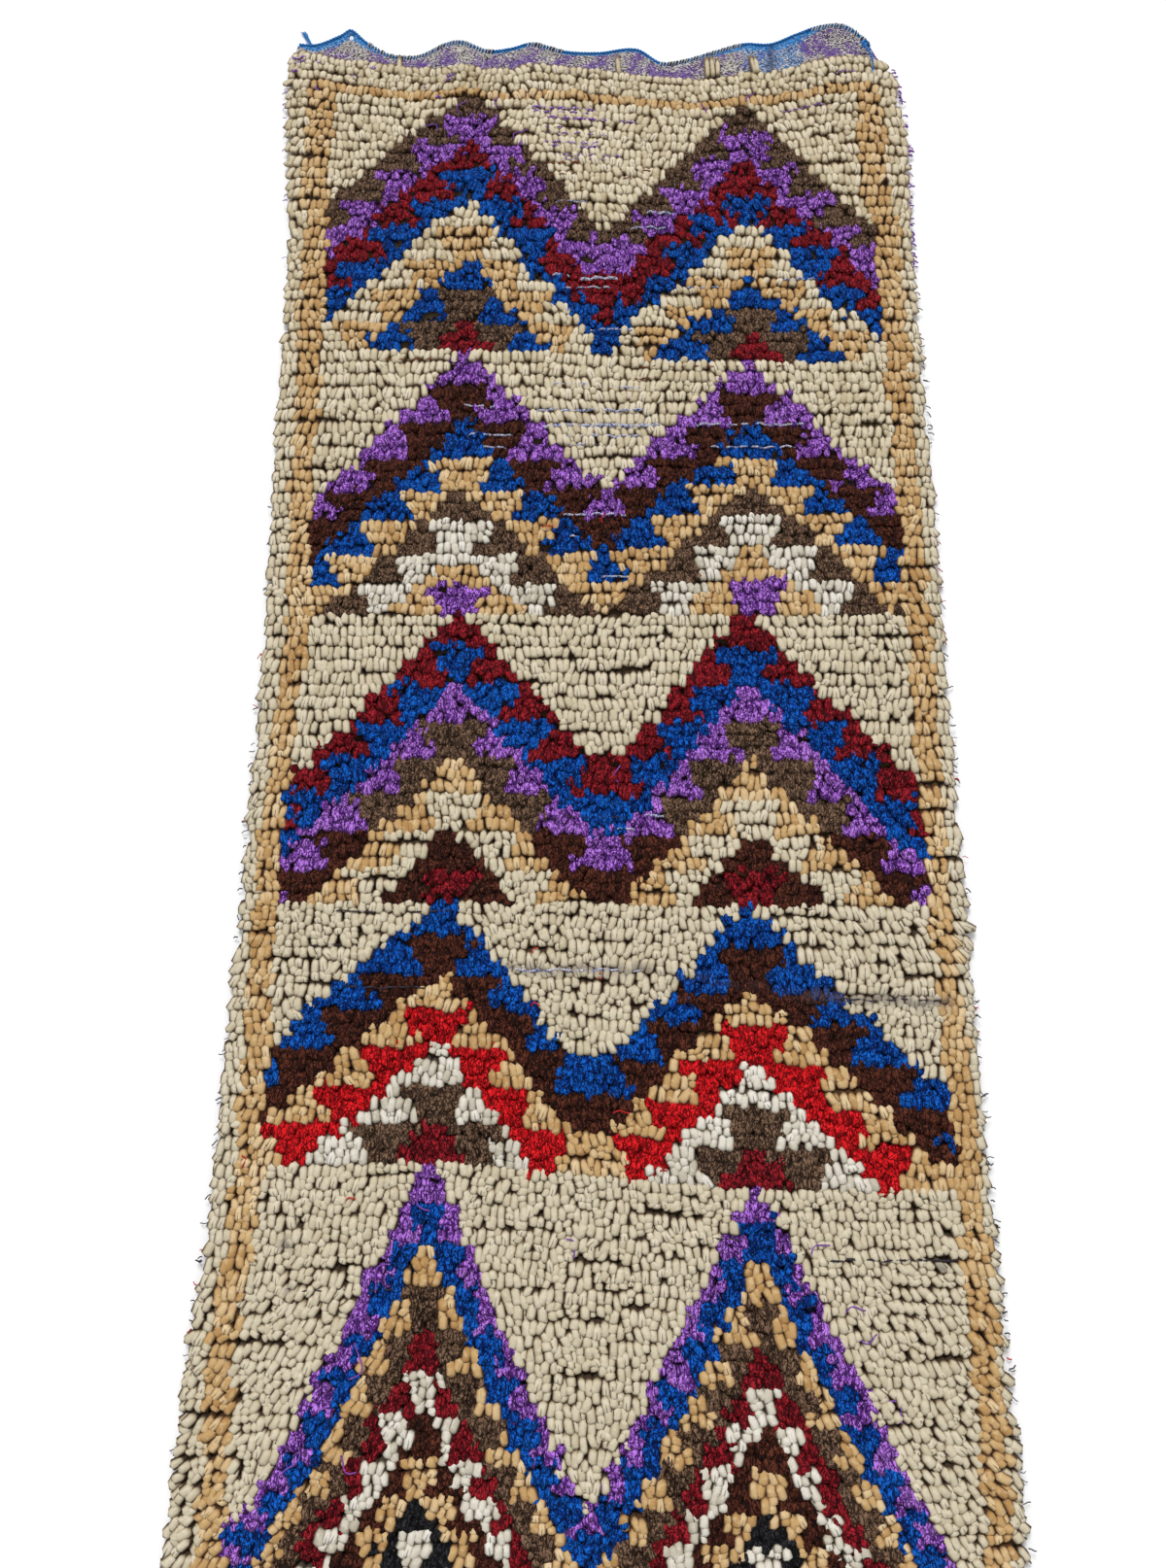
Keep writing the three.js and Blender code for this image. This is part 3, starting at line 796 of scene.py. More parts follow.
# A shape as arrays, brought to a box one wide, one long and one high, with its root at y = 0
def arraysOf(part):
    mesh = part.data
    points = np.array([vertex.co for vertex in mesh.vertices], float)
    low, high = points.min(0), points.max(0)
    shape = {
        "points": (points - [(low[0] + high[0]) / 2, high[1], low[2]]) / (high - low),
        "corners": np.array([loop.vertex_index for loop in mesh.loops]),
        "totals": np.array([face.loop_total for face in mesh.polygons]),
        "map": np.array([loop.uv for loop in mesh.uv_layers.active.data], float),
    }
    bpy.data.objects.remove(part)
    return shape


shapes = {
    "petal": [arraysOf(makePetal(look, petal)) for look in petalShapes],
    "lobe": [arraysOf(makePetal(look, lobe)) for look in petalShapes],
    "lock": [arraysOf(makeLock(curls)) for curls in curlShapes],
}
for kind, made in shapes.items():
    print("tuft shape", kind, "triangles:", [int((shape["totals"] - 2).sum()) for shape in made])


# One mesh of many copies. Each copy has its own square of the OFBake map. Its points carry what the wool
# reads: how high up the tuft they are, lower at the tip's front, which sets where painted shade falls, the
# tuft's own tone, the stains, and the place on the tuft.
fibreShift = 37  # moves the fibres from tuft to tuft


def joinCopies(name, batches):
    points, corners, totals, maps, cells, crests, tufts, soils, lies = [], [], [], [], [], [], [], [], []
    firstPoint = 0
    firstCell = 0
    for shape, copies in batches:
        count = len(copies["x"])
        if count == 0:
            continue
        unit = shape["points"]
        number = len(unit)
        column = {key: copies[key][:, None] for key in copies if key != "yarn"}
        across = unit[:, 0] * column["wide"] + column["bend"] * unit[:, 1] ** 2
        along = unit[:, 1] * column["long"]
        cos, sin = np.cos(column["turn"]), np.sin(column["turn"])
        x = column["x"] + across * cos - along * sin
        y = column["y"] + across * sin + along * cos
        z = column["z"] + unit[:, 2] * column["high"]
        points.append(np.stack([x, y, z], 2).reshape(-1, 3) * mm)
        shift = firstPoint + np.arange(count)[:, None] * number
        corners.append((shape["corners"] + shift).ravel())
        totals.append(np.tile(shape["totals"], count))
        maps.append(np.tile(shape["map"], (count, 1)))
        cells.append(np.repeat(firstCell + np.arange(count), len(shape["corners"])))
        # Crest: how high up a point lies on its tuft, lowered at the tip's front face; the wool paints shade
        # where it is low
        front = 1 - 0.6 * smoothStep(-unit[:, 1], 0.9, 1.0)
        crest = front * smoothStep(unit[:, 2], 0.0, 0.5)
        crests.append((crest + np.zeros((count, 1))).ravel())
        tufts.append(np.repeat(copies["shade"], number))
        soils.append(soilAt(x.ravel(), rug["top"] - y.ravel()))
        own = copies["shade"][:, None] * fibreShift + np.zeros(number)
        lie = np.stack([unit[:, 0] + 0 * own, -unit[:, 1] + 0 * own, own], 2)
        lies.append(lie.reshape(-1, 3))
        firstPoint += count * number
        firstCell += count
    return makeMesh(name, np.concatenate(points), np.concatenate(corners), np.concatenate(totals), {
        "map": spreadMap(np.concatenate(maps), np.concatenate(cells), firstCell),
        "crest": np.concatenate(crests),
        "tuft": np.concatenate(tufts),
        "soil": np.concatenate(soils),
        "lie": np.concatenate(lies),
    })


def spreadMap(maps, cells, count):
    side = math.ceil(math.sqrt(count))
    inset = maps * 0.94 + 0.03
    return (inset + np.stack([cells % side, cells // side], 1)) / side


def addLayer(mesh, name, values):
    mesh.attributes.new(name, "FLOAT", "POINT").data.foreach_set("value", values.astype(np.float32))


def makeMesh(name, points, corners, totals, layers):
    mesh = bpy.data.meshes.new(name)
    mesh.vertices.add(len(points))
    mesh.vertices.foreach_set("co", points.astype(np.float32).ravel())
    mesh.loops.add(len(corners))
    mesh.loops.foreach_set("vertex_index", corners.astype(np.int32))
    mesh.polygons.add(len(totals))
    starts = np.concatenate([[0], np.cumsum(totals)[:-1]])
    mesh.polygons.foreach_set("loop_start", starts.astype(np.int32))
    mesh.polygons.foreach_set("use_smooth", np.ones(len(totals), bool))
    mesh.update(calc_edges=True)
    bakeMap = mesh.uv_layers.new(name="OFBake")
    bakeMap.data.foreach_set("uv", layers["map"].astype(np.float32).ravel())
    for key in ("crest", "tuft", "soil"):
        addLayer(mesh, key, layers[key])
    lie = mesh.attributes.new("lie", "FLOAT_VECTOR", "POINT")
    lie.data.foreach_set("vector", layers["lie"].astype(np.float32).ravel())
    made = bpy.data.objects.new(name, mesh)
    bpy.context.scene.collection.objects.link(made)
    return made


# Pile: how high it stands and how its tufts differ, in millimetres. Its pieces go by yarn, with the part of
# the rug across and the share of curly tufts.
pile = {
    "floor": 1.6,
    "raised": 1.6,
    "fineRaised": 3.4,
    "high": 13.2,
    "fineDrop": 1.0,
    "parted": 0.2,        # share of plump knots that show two ends, more of them lower down the rug
    "partedDown": (1100, 1350),
    "backLong": 0.66,
    "frontLong": 0.62,
    "frontAt": 0.4,
    "frontAside": 1.2,
    "doubled": 0.75,      # share of fine knots that show two slim tufts
    "slim": 0.62,
    "unevenHigh": 0.7,
    "lumps": 1.4,
    "edgeDrop": 0.35,
    "bend": 2.0,
    "plumpWide": 1.58,
    "plumpLong": 1.12,
    "fineWide": 1.9,
    "fineLong": 1.15,
}
pilePieces = [
    {"name": "cream_pile_left", "yarn": "cream", "slot": "cream_wool", "x": (-500, -120)},
    {"name": "cream_pile_middle", "yarn": "cream", "slot": "cream_wool", "x": (-120, 130)},
    {"name": "cream_pile_right", "yarn": "cream", "slot": "cream_wool", "x": (130, 500)},
    {"name": "gold_pile_left", "yarn": "gold", "slot": "gold_wool", "x": (-500, 0)},
    {"name": "gold_pile_right", "yarn": "gold", "slot": "gold_wool", "x": (0, 500)},
    {"name": "white_pile", "yarn": "white", "slot": "white_wool"},
    {"name": "mid_brown_pile", "yarn": "midBrown", "slot": "mid_brown_wool", "loose": 0.03},
    {"name": "dark_brown_pile", "yarn": "darkBrown", "slot": "dark_brown_wool", "loose": 0.03},
    {"name": "black_pile", "yarn": "black", "slot": "black_wool", "loose": 0.03},
    {"name": "purple_pile", "yarn": "purple", "slot": "purple_yarn", "loose": 0.22},
    {"name": "blue_pile", "yarn": "blue", "slot": "blue_yarn", "loose": 0.22},
    {"name": "dark_red_pile", "yarn": "darkRed", "slot": "dark_red_yarn", "loose": 0.22},
    {"name": "bright_red_pile", "yarn": "brightRed", "slot": "bright_red_yarn", "loose": 0.06},
]


def pileTop(x, y):
    broad = np.sin(x / 61) * np.sin(y / 47)
    close = np.sin(x / 23 + y / 31) * np.cos(y / 19 - x / 57)
    return 0.6 * broad + 0.7 * close


# Some plump knots show their two ends as two shorter tufts, one behind the other
def partKnots(knots):
    plump = np.isin(knots["yarn"], smoothYarns)
    share = pile["parted"] * (0.4 + smoothStep(knots["down"], *pile["partedDown"]))
    parted = plump & (dice.uniform(0, 1, len(plump)) < share)
    front = {key: values[parted].copy() for key, values in knots.items()}
    knots["long"][parted] *= pile["backLong"]
    front["y"] -= front["long"] * pile["frontAt"]
    front["long"] *= pile["frontLong"]
    front["x"] += dice.normal(0, pile["frontAside"], len(front["x"]))
    front["wide"] *= dice.uniform(0.8, 1.1, len(front["x"]))
    return {key: np.concatenate([knots[key], front[key]]) for key in knots}


# Fine yarn is often knotted double, so two slim tufts lie side by side
def doubleKnots(knots):
    fine = ~np.isin(knots["yarn"], smoothYarns) & (dice.uniform(0, 1, len(knots["x"])) < pile["doubled"])
    other = {key: values[fine].copy() for key, values in knots.items()}
    count = len(other["x"])
    for half, side in ((knots, -1), (other, 1)):
        chosen = fine if side < 0 else np.ones(count, bool)
        shift = side * half["wide"][chosen] / 4
        half["x"][chosen] += shift * np.cos(half["turn"][chosen])
        half["y"][chosen] += shift * np.sin(half["turn"][chosen]) + dice.normal(0, knotting["uneven"], count)
        half["wide"][chosen] *= pile["slim"] * dice.uniform(0.85, 1.2, count)
    return {key: np.concatenate([knots[key], other[key]]) for key in knots}


smoothYarns = ("cream", "gold", "white")
knots = doubleKnots(partKnots(knots))
count = len(knots["x"])
print("tufts with parted knots:", count)
knots["shade"] = dice.uniform(0, 1, count)
knots["bend"] = dice.normal(0, pile["bend"], count)
lumps = pileTop(knots["x"], knots["y"]) * pile["lumps"]
plump = np.isin(knots["yarn"], smoothYarns)
raised = np.where(plump, pile["raised"], pile["fineRaised"]) * (1 - np.clip(knots["edge"] * 2, 0, 1))
knots["z"] = pile["floor"] + raised
high = pile["high"] - pile["fineDrop"] * ~plump + lumps + dice.normal(0, pile["unevenHigh"], count)
knots["high"] = high * (1 - pile["edgeDrop"] * knots["edge"]) - raised
knots["wide"] = knots["wide"] * np.where(plump, pile["plumpWide"], pile["fineWide"])
knots["long"] = knots["long"] * np.where(plump, pile["plumpLong"], pile["fineLong"])
variants = dice.integers(0, 60, count)
looseness = dice.uniform(0, 1, count)

finishes = {name: woolFinish(name + "Wool", yarn, name not in smoothYarns) for name, yarn in yarns.items()}
totalTriangles = 0
for piece in pilePieces:
    fromX, toX = piece.get("x", (-500, 500))
    mine = (knots["yarn"] == piece["yarn"]) & (knots["x"] >= fromX) & (knots["x"] < toX)
    loose = looseness < piece.get("loose", 0)
    smooth = piece["yarn"] in smoothYarns
    batches = []
    for kind, group in (("petal" if smooth else "lobe", mine & ~loose), ("lock", mine & loose)):
        for number, shape in enumerate(shapes[kind]):
            chosen = group & (variants % len(shapes[kind]) == number)
            batches.append((shape, {key: values[chosen] for key, values in knots.items()}))
    made = joinCopies(piece["name"], batches)
    made.data.materials.append(finishes[piece["yarn"]])
    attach(made, "root")
    made.data.calc_loop_triangles()
    totalTriangles += len(made.data.loop_triangles)
    print(piece["name"], "knots:", int(mine.sum()), "triangles:", len(made.data.loop_triangles))
print("pile triangles:", totalTriangles)


# Ground weave: the flatwoven cloth under the pile, bare at both ends, with a torn place near the top end
ground = {
    "columns": 190,
    "stripRows": 24,
    "pileRows": 20,
    "footRows": 8,
    "inset": 5,
    "topMiddle": 1100,
    "torn": (-351, 1106, 3.6, 5.2),
    # Fold: place, width and strength of a band of painted shade where the bare strip folds
    "fold": {"x": 254, "wide": 6, "strength": 0.7},
    "wash": {"from": (165, 235), "to": (290, 325), "strength": 0.42},
    "slub": 0.3,
}
# Its look: how its wefts slant, the scales of its patterns, and its colours. Under the pile the weave is
# painted a brown of painted shade that shows between the tufts, lighter towards the top end.
weaveLook = {
    "turn": math.radians(52),
    "stretch": (0.8, 2.6, 1.0),
    "wefts": 420.0,
    "yarns": 300.0,
    "patches": 40.0,
    "roughness": 0.85,
    "bump": 0.0012,
}
weaveColours = {
    "dark": (30, 26, 38),
    "pale": (210, 204, 196),
    "purple": (92, 54, 138),
    "deepBlue": (12, 72, 140),
    "lightBlue": (58, 146, 214),
    # The fold's band of painted shade, and the painted shade under the pile at its foot and its top end
    "foldShadow": (34, 42, 78),
    "pileShadeFoot": (92, 73, 53),
    "pileShadeTop": (150, 128, 98),
}


def weaveFinish():
    finish = Finish("flatWeave")
    tone = {key: paint(*value) for key, value in weaveColours.items()}
    place = finish.node("ShaderNodeTexCoord", {}, {}, 3)
    slant = {"Vector": place, "Rotation": (0, 0, weaveLook["turn"]), "Scale": weaveLook["stretch"]}
    oblique = finish.node("ShaderNodeMapping", {}, slant)
    weft = finish.noise(oblique, weaveLook["wefts"], 1.0)
    yarn = finish.noise(oblique, weaveLook["yarns"], 1.0, 0.5, 0.4)
    broad = finish.noise(place, weaveLook["patches"], 2.0)
    colour = finish.mix(weft.ramp(0.475, 0.53), tone["dark"], tone["pale"])
    colour = finish.mix((yarn + (broad - 0.5) * 0.9).ramp(0.52, 0.57) * 0.85, colour, tone["purple"])
    blue = finish.mix(weft.ramp(0.42, 0.56), tone["deepBlue"], tone["lightBlue"])
    dye = finish.attribute("blueTint")
    colour = finish.mix((dye * (0.6 + yarn.ramp(0.35, 0.6))).ramp(0.35, 0.75), colour, blue)
    # Band of painted shade along the fold
    colour = finish.mix(finish.attribute("foldShade"), colour, tone["foldShadow"])
    up = finish.parts(place)[1]
    # Under the pile the weave gives way to a brown of painted shade, lighter towards the top end
    shade = finish.mix(up.ramp(0.2, 0.9), tone["pileShadeFoot"], tone["pileShadeTop"])
    colour = finish.mix(finish.attribute("underPileShade"), colour, shade)
    finish.wear(colour, weaveLook["roughness"] + weft * 0.1, weft + yarn * 0.5, 0.8, weaveLook["bump"])
    return finish.material


# Blue dye near the top end's edge: how far it reaches from the edge, by place across
edgeBlue = {
    "x": [-430, -410, -380, -345, -325, -300, 150, 190, 230, 260, 300, 318, 330],
    "depth": [2, 10, 15, 18, 9, 3, 3, 8, 14, 18, 15, 8, 3],
}


def makeGround():
    rowCount = ground["stripRows"] + ground["pileRows"] + ground["footRows"]
    bpy.ops.mesh.primitive_grid_add(x_subdivisions=ground["columns"], y_subdivisions=rowCount, size=1)
    part = bpy.context.object
    part.name = "ground_weave"
    points = np.zeros(len(part.data.vertices) * 3)
    part.data.vertices.foreach_get("co", points)
    points = points.reshape(-1, 3)
    across = points[:, 0] + 0.5
    index = np.round((0.5 - points[:, 1]) * rowCount)
    strip = np.clip(index / ground["stripRows"], 0, 1)
    middle = np.clip((index - ground["stripRows"]) / ground["pileRows"], 0, 1)
    foot = np.clip((index - ground["stripRows"] - ground["pileRows"]) / ground["footRows"], 0, 1)
    topBase = ground["topMiddle"] * (1 - strip) + rug["pileMiddle"] * strip
    base = np.where(middle > 0, rug["pileMiddle"] * (1 - middle) + rug["pileFoot"] * middle, topBase)
    base = np.where(foot > 0, rug["pileFoot"] * (1 - foot) + rug["bottom"] * foot, base)
    inset = ground["inset"] * np.where(middle > 0, 1, strip) * (1 - foot)
    left = leftEdge(base) + inset
    right = rightEdge(base) - inset
    x = left * (1 - across) + right * across
    inStrip = index <= ground["stripRows"]
    bare = (index < ground["stripRows"]) | (foot > 0)
    wave = -rug["bottomWave"] * np.cos((x - rug["bottomLength"] / 5) / rug["bottomLength"] * 2 * math.pi)
    y = np.where(inStrip, clothEdge(x) * (1 - strip) + topPile(x) * strip, rowHeight(base, x)) + wave * foot
    lift = topLift(x) * (1 - strip) ** 1.6
    z = rug["cloth"] + ground["slub"] + lift + ground["slub"] * np.sin(x / 4.1) * np.sin(y / 5.3) * bare
    part.data.vertices.foreach_set("co", (np.stack([x, y, z], 1) * mm).ravel())
    fromEdge = clothEdge(x) - y
    dyed = 1 - smoothStep(fromEdge, 0.6, 1.3 * np.interp(x, edgeBlue["x"], edgeBlue["depth"]) + 0.7)
    wash, fold = ground["wash"], ground["fold"]
    washed = wash["strength"] * smoothStep(x, *wash["from"]) * (1 - smoothStep(x, *wash["to"]))
    foldShadow = fold["strength"] * np.exp(-((x - fold["x"]) / fold["wide"]) ** 2)
    # Where the brown of painted shade under the pile lies, and the band of painted shade along the fold
    addLayer(part.data, "underPileShade", smoothStep(strip, 0.93, 1.0) * (1 - smoothStep(foot, 0.0, 0.1)))
    addLayer(part.data, "blueTint", np.maximum(dyed, washed) * inStrip)
    addLayer(part.data, "foldShade", foldShadow * inStrip)
    part.data.update()
    tearX, tearY, tearWide, tearHigh = [value * mm for value in ground["torn"]]
    bpy.ops.object.mode_set(mode="EDIT")
    bpy.ops.mesh.select_mode(type="FACE")
    bpy.ops.mesh.select_all(action="DESELECT")
    bpy.ops.object.mode_set(mode="OBJECT")
    for face in part.data.polygons:
        face.select = math.hypot((face.center.x - tearX) / tearWide, (face.center.y - tearY) / tearHigh) < 1
    tearCorners = {i for face in part.data.polygons if face.select for i in face.vertices}
    for i in tearCorners:
        place = part.data.vertices[i].co
        reach = math.hypot((place.x - tearX) / tearWide, (place.y - tearY) / tearHigh) + 0.001
        place.x = tearX + (place.x - tearX) / reach
        place.y = tearY + (place.y - tearY) / reach
    bpy.ops.object.mode_set(mode="EDIT")
    bpy.ops.mesh.delete(type="FACE")
    bpy.ops.object.mode_set(mode="OBJECT")
    solid = part.modifiers.new("thickness", "SOLIDIFY")
    solid.thickness = rug["cloth"] * mm
    solid.offset = -1
    bpy.ops.object.modifier_apply(modifier=solid.name)
    for face in part.data.polygons:
        face.use_smooth = True
    part.data.materials.append(weaveFinish())
    return part


groundWeave = makeGround()
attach(groundWeave, "root")
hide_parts("rug_body")
print("ground weave made")


# A round yarn along each list of places, in millimetres, with a radius at each place
def spunYarn(name, runs, sides=0):
    bpy.ops.object.select_all(action="DESELECT")
    curve = bpy.data.curves.new(name, "CURVE")
    curve.dimensions = "3D"
    curve.bevel_depth = mm
    curve.bevel_resolution = sides
    curve.use_fill_caps = True
    for places, radii in runs:
        spline = curve.splines.new("POLY")
        spline.points.add(len(places) - 1)
        located = np.column_stack([np.array(places) * mm, np.ones(len(places))])
        spline.points.foreach_set("co", located.ravel())
        spline.points.foreach_set("radius", np.broadcast_to(radii, len(places)))
    made = bpy.data.objects.new(name, curve)
    bpy.context.scene.collection.objects.link(made)
    made.select_set(True)
    bpy.context.view_layer.objects.active = made
    bpy.ops.object.convert(target="MESH")
    made = bpy.context.object
    bpy.ops.object.mode_set(mode="EDIT")
    bpy.ops.mesh.select_all(action="SELECT")
    bpy.ops.mesh.normals_make_consistent(inside=False)
    bpy.ops.object.mode_set(mode="OBJECT")
    bpy.ops.object.shade_smooth()
    return made


# Where the cord's middle runs, along the rippled top end
cord = {"from": -426, "to": 397, "step": 1.3, "spread": 0.95, "ply": 1.1, "pitch": 9, "sunk": 1.5}


def cordPlaces(x):
    y = topReach(x) - rug["cordRadius"]
    z = rug["cloth"] + topLift(x) + rug["cordRadius"] - cord["sunk"]
    return np.column_stack([x, y, z])


# Two plies that twist round a middle line, one turn in each pitch
def twistedPlies(middle, spread, pitch, start=0.0):
    lengths = np.linalg.norm(np.diff(middle, axis=0), axis=1)
    turned = start + np.concatenate([[0], np.cumsum(lengths)]) / pitch * 2 * math.pi
    ahead = np.gradient(middle, axis=0)
    ahead /= np.linalg.norm(ahead, axis=1)[:, None]
    side = np.cross([0, 0, 1.0], ahead)
    side /= np.linalg.norm(side, axis=1)[:, None]
    up = np.cross(ahead, side)
    runs = []
    for angle in (turned[:, None], turned[:, None] + math.pi):
        runs.append(middle + spread * (np.cos(angle) * side + np.sin(angle) * up))
    return runs


cordX = np.arange(cord["from"], cord["to"], cord["step"])
cordRuns = [(run, cord["ply"]) for run in twistedPlies(cordPlaces(cordX), cord["spread"], cord["pitch"])]
twinedCord = spunYarn("twined_edge_cord", cordRuns, 1)
print("cord twined:", len(twinedCord.data.polygons))

# Frayed end of the cord at the left corner, in millimetres, turned from straight across in radians
fray = {
    "root": (-410, 1099, 2.6),
    "turn": 2.05,
    "length": 29,
    "wide": 7.4,
    "strands": 18,
    "points": 9,
    "radius": 0.66,
    "lowest": 0.7,
}


def frayRuns():
    runs = []
    ahead = np.array([math.cos(fray["turn"]), math.sin(fray["turn"]), 0])
    side = np.array([-ahead[1], ahead[0], 0])
    for strand in range(fray["strands"]):
        t = np.linspace(0, 1, fray["points"])[:, None]
        spread = (strand / (fray["strands"] - 1) - 0.5) * fray["wide"]
        length = fray["length"] * dice.uniform(0.72, 1.0)
        wave = np.sin(t * dice.uniform(4, 8) + dice.uniform(0, 6)) * 0.9 * t
        rise = dice.uniform(-1.2, 1.2)
        aside = spread * (0.25 + 0.75 * t ** 1.3) + wave
        places = np.array(fray["root"]) + ahead * t * length + side * aside
        places = places + np.array([0, 0, 1]) * (rise - 1.2 * t + 0.4)
        places[:, 2] = np.maximum(places[:, 2], fray["lowest"])
        runs.append((places, np.linspace(fray["radius"], fray["radius"] * 0.6, fray["points"])))
    return runs


frayedEnd = spunYarn("frayed_cord_end", frayRuns(), 1)

# Overhand knot at the right corner, and its tail of two plies that hangs down over the pile
tie = {"at": (386, 1088), "height": 14.5, "loop": 4.4, "yarn": 1.25, "rise": 1.364}
tailPlaces = {
    "x": [386, 391, 395, 396, 395],
    "y": [1086, 1074, 1062, 1050, 1039],
    "z": [15.0, 16.2, 17.2, 17.6, 17.8],
}
tail = {"ply": (0.95, 0.5), "spread": 0.8, "pitch": 8, "fringe": 4, "fringeYarn": (0.45, 0.25)}


def tieRuns():
    t = np.linspace(0, 2 * math.pi, 44)
    x = tie["at"][0] + tie["loop"] * (np.sin(t) + 2 * np.sin(2 * t)) / 2.4
    y = tie["at"][1] + tie["loop"] * (np.cos(t) - 2 * np.cos(2 * t)) / 2.4
    z = tie["height"] - tie["rise"] * np.sin(3 * t)
    runs = [(np.column_stack([x, y, z]), tie["yarn"])]
    share = np.linspace(0, 4, 34)
    middle = np.column_stack([np.interp(share, range(5), tailPlaces[key]) for key in "xyz"])
    taper = np.linspace(*tail["ply"], len(share))
    for run in twistedPlies(middle, tail["spread"], tail["pitch"]):
        runs.append((run, taper))
    for number in range(tail["fringe"]):
        end = middle[-1] + np.array([number * 0.9 - 1.4, 0, -0.2])
        t = np.linspace(0, 1, 5)[:, None]
        fringe = end + t * np.array([(number - 1.5) * 1.1, -4.5, -0.6])
        runs.append((fringe, np.linspace(*tail["fringeYarn"], 5)))
    return runs


cornerTie = spunYarn("corner_tie", tieRuns(), 1)

cordYarn = {"top": (30, 108, 182), "light": (66, 148, 214), "dull": (14, 74, 140)}
cordFinish = spunFinish("blueCord", cordYarn)
cordPieces = {"top_edge_cord": twinedCord, "left_corner_fray": frayedEnd, "right_corner_knot": cornerTie}
for node, part in cordPieces.items():
    part.data.materials.append(cordFinish)
    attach(part, "root")
    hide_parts(node)
print("cord, frayed end and corner tie made")

# Slanted pale stitches that bind the cord to the cloth, and a few darker ones between them. Each goes from
# under the cloth over the cord: how far slanted, how far out and how high.
binding = {
    "runs": ((-325, -145), (-95, -45), (95, 215), (315, 396)),
    "spacing": 4.3,
    "slant": 2.1,
    "reach": 4.6,
    "radius": 0.8,
    "skipped": 0.7,
}


def bindingRuns(shift):
    runs = []
    for start, end in binding["runs"]:
        places = np.arange(start + shift, end, binding["spacing"])
        for x in places + dice.uniform(-0.8, 0.8, len(places)):
            if shift and dice.uniform() < binding["skipped"]:
                continue
            edge = cordPlaces(np.array([x]))[0]
            reach = binding["reach"] * dice.uniform(0.8, 1.2)
            path = [(-1.0, -reach, -1.7), (-0.5, -reach * 0.55, 0.7), (0.1, -0.6, 2.3), (0.6, 1.5, 1.6)]
            path.append((0.9, 2.4, -0.4))
            stitch = [edge + np.array([along * binding["slant"], out, up]) for along, out, up in path]
            runs.append((stitch, binding["radius"]))
    return runs


# Colours of the yarns that aren't pile
spare = {
    "white": {"top": (206, 202, 196), "light": (232, 230, 226), "dull": (164, 158, 152)},
    "dark": {"top": (40, 36, 44), "light": (66, 60, 70), "dull": (22, 20, 24)},
    "purple": {"top": (118, 62, 160), "light": (156, 98, 198), "dull": (82, 36, 122)},
    "lavender": {"top": (190, 188, 204), "light": (220, 220, 228), "dull": (140, 138, 166)},
    "brown": {"top": (120, 62, 32), "light": (158, 92, 50), "dull": (78, 36, 18)},
    "red": {"top": (184, 14, 20), "light": (214, 40, 42), "dull": (140, 8, 14)},
}


def addYarns(name, runs, colour, stray=None):
    made = spunYarn(name, runs)
    made.data.materials.append(spunFinish(name + "Spun", spare[colour], stray))
    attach(made, "root")
    print(name, "strands:", len(runs), "faces:", len(made.data.polygons))


addYarns("binding_stitches_pale", bindingRuns(0), "white")
addYarns("binding_stitches_dark", bindingRuns(binding["spacing"] / 2), "dark")

# Worn places, where wefts show between two rows: from x, to x, down the rug, and how thick
wornWefts = {
    "purple": [
        (-95, 5, 149, 1.5), (-90, 0, 156, 1.2), (-75, 60, 166, 1.4), (-75, 15, 208, 1.3),
        (-70, 10, 215, 1.1), (-60, 40, 229, 1.0), (-50, 30, 236, 0.8), (-432, -408, 82, 1.6),
        (-428, -412, 88, 1.3), (-371, -361, 71, 1.4), (-323, -307, 85, 1.4), (-347, -337, 102, 1.5),
        (-398, -385, 89, 1.5), (-221, -196, 91, 1.6), (-217, -200, 97, 1.3), (-244, -227, 110, 1.2),
        (-227, -216, 128, 1.2), (-401, -392, 130, 1.3), (-433, -421, 103, 1.2), (-85, -40, 182, 0.9),
        (-70, 30, 192, 0.8), (-60, -28, 84, 1.1), (60, 84, 96, 1.0), (150, 172, 88, 0.9),
        (340, 372, 100, 0.9), (240, 330, 150, 0.8),
    ],
    "lavender": [
        (-60, 3, 597, 1.4), (23, 64, 602, 1.4), (-75, 70, 636, 1.5), (-65, 85, 659, 2.2),
        (-45, 60, 674, 1.4), (-37, 2, 686, 1.6), (-22, 38, 434, 2.0), (-45, 25, 448, 1.1),
        (-60, -34, 428, 1.4), (-10, 60, 514, 1.3), (-55, -10, 308, 1.1), (68, 112, 327, 1.5),
        (45, 100, 352, 1.2), (-175, -125, 630, 1.2), (-165, -105, 672, 1.2), (-150, -110, 690, 1.1),
        (125, 275, 657, 1.3), (140, 260, 690, 1.1), (-45, 42, 786, 1.2), (-30, -18, 816, 1.1),
        (5, 45, 872, 1.1), (25, 48, 1193, 1.2), (58, 82, 1177, 1.3), (-95, 60, 1357, 1.2),
        (250, 300, 435, 1.1), (120, 180, 448, 1.1),
    ],
    "brown": [
        (-75, -15, 243, 0.9), (15, 85, 253, 0.9), (-65, -20, 262, 0.7), (30, 60, 268, 0.7),
        (70, 115, 276, 0.7), (-40, -5, 284, 0.7), (48, 76, 588, 0.9), (-300, -120, 560, 0.6),
        (60, 260, 571, 0.6),
    ],
    "dark": [
        (-300, -160, 1290, 0.8), (-340, -250, 1329, 0.9), (-290, -180, 1376, 0.9),
        (240, 385, 1661, 1.1), (246, 394, 1390, 0.7), (-60, 40, 1180, 0.5), (60, 160, 1640, 0.7),
        (-330, -210, 1690, 0.7),
    ],
}
weftLie = {"height": 9.8, "middleRise": 3.0, "dash": 1.4, "pitch": 6.5, "spread": 0.75, "ply": 0.8}


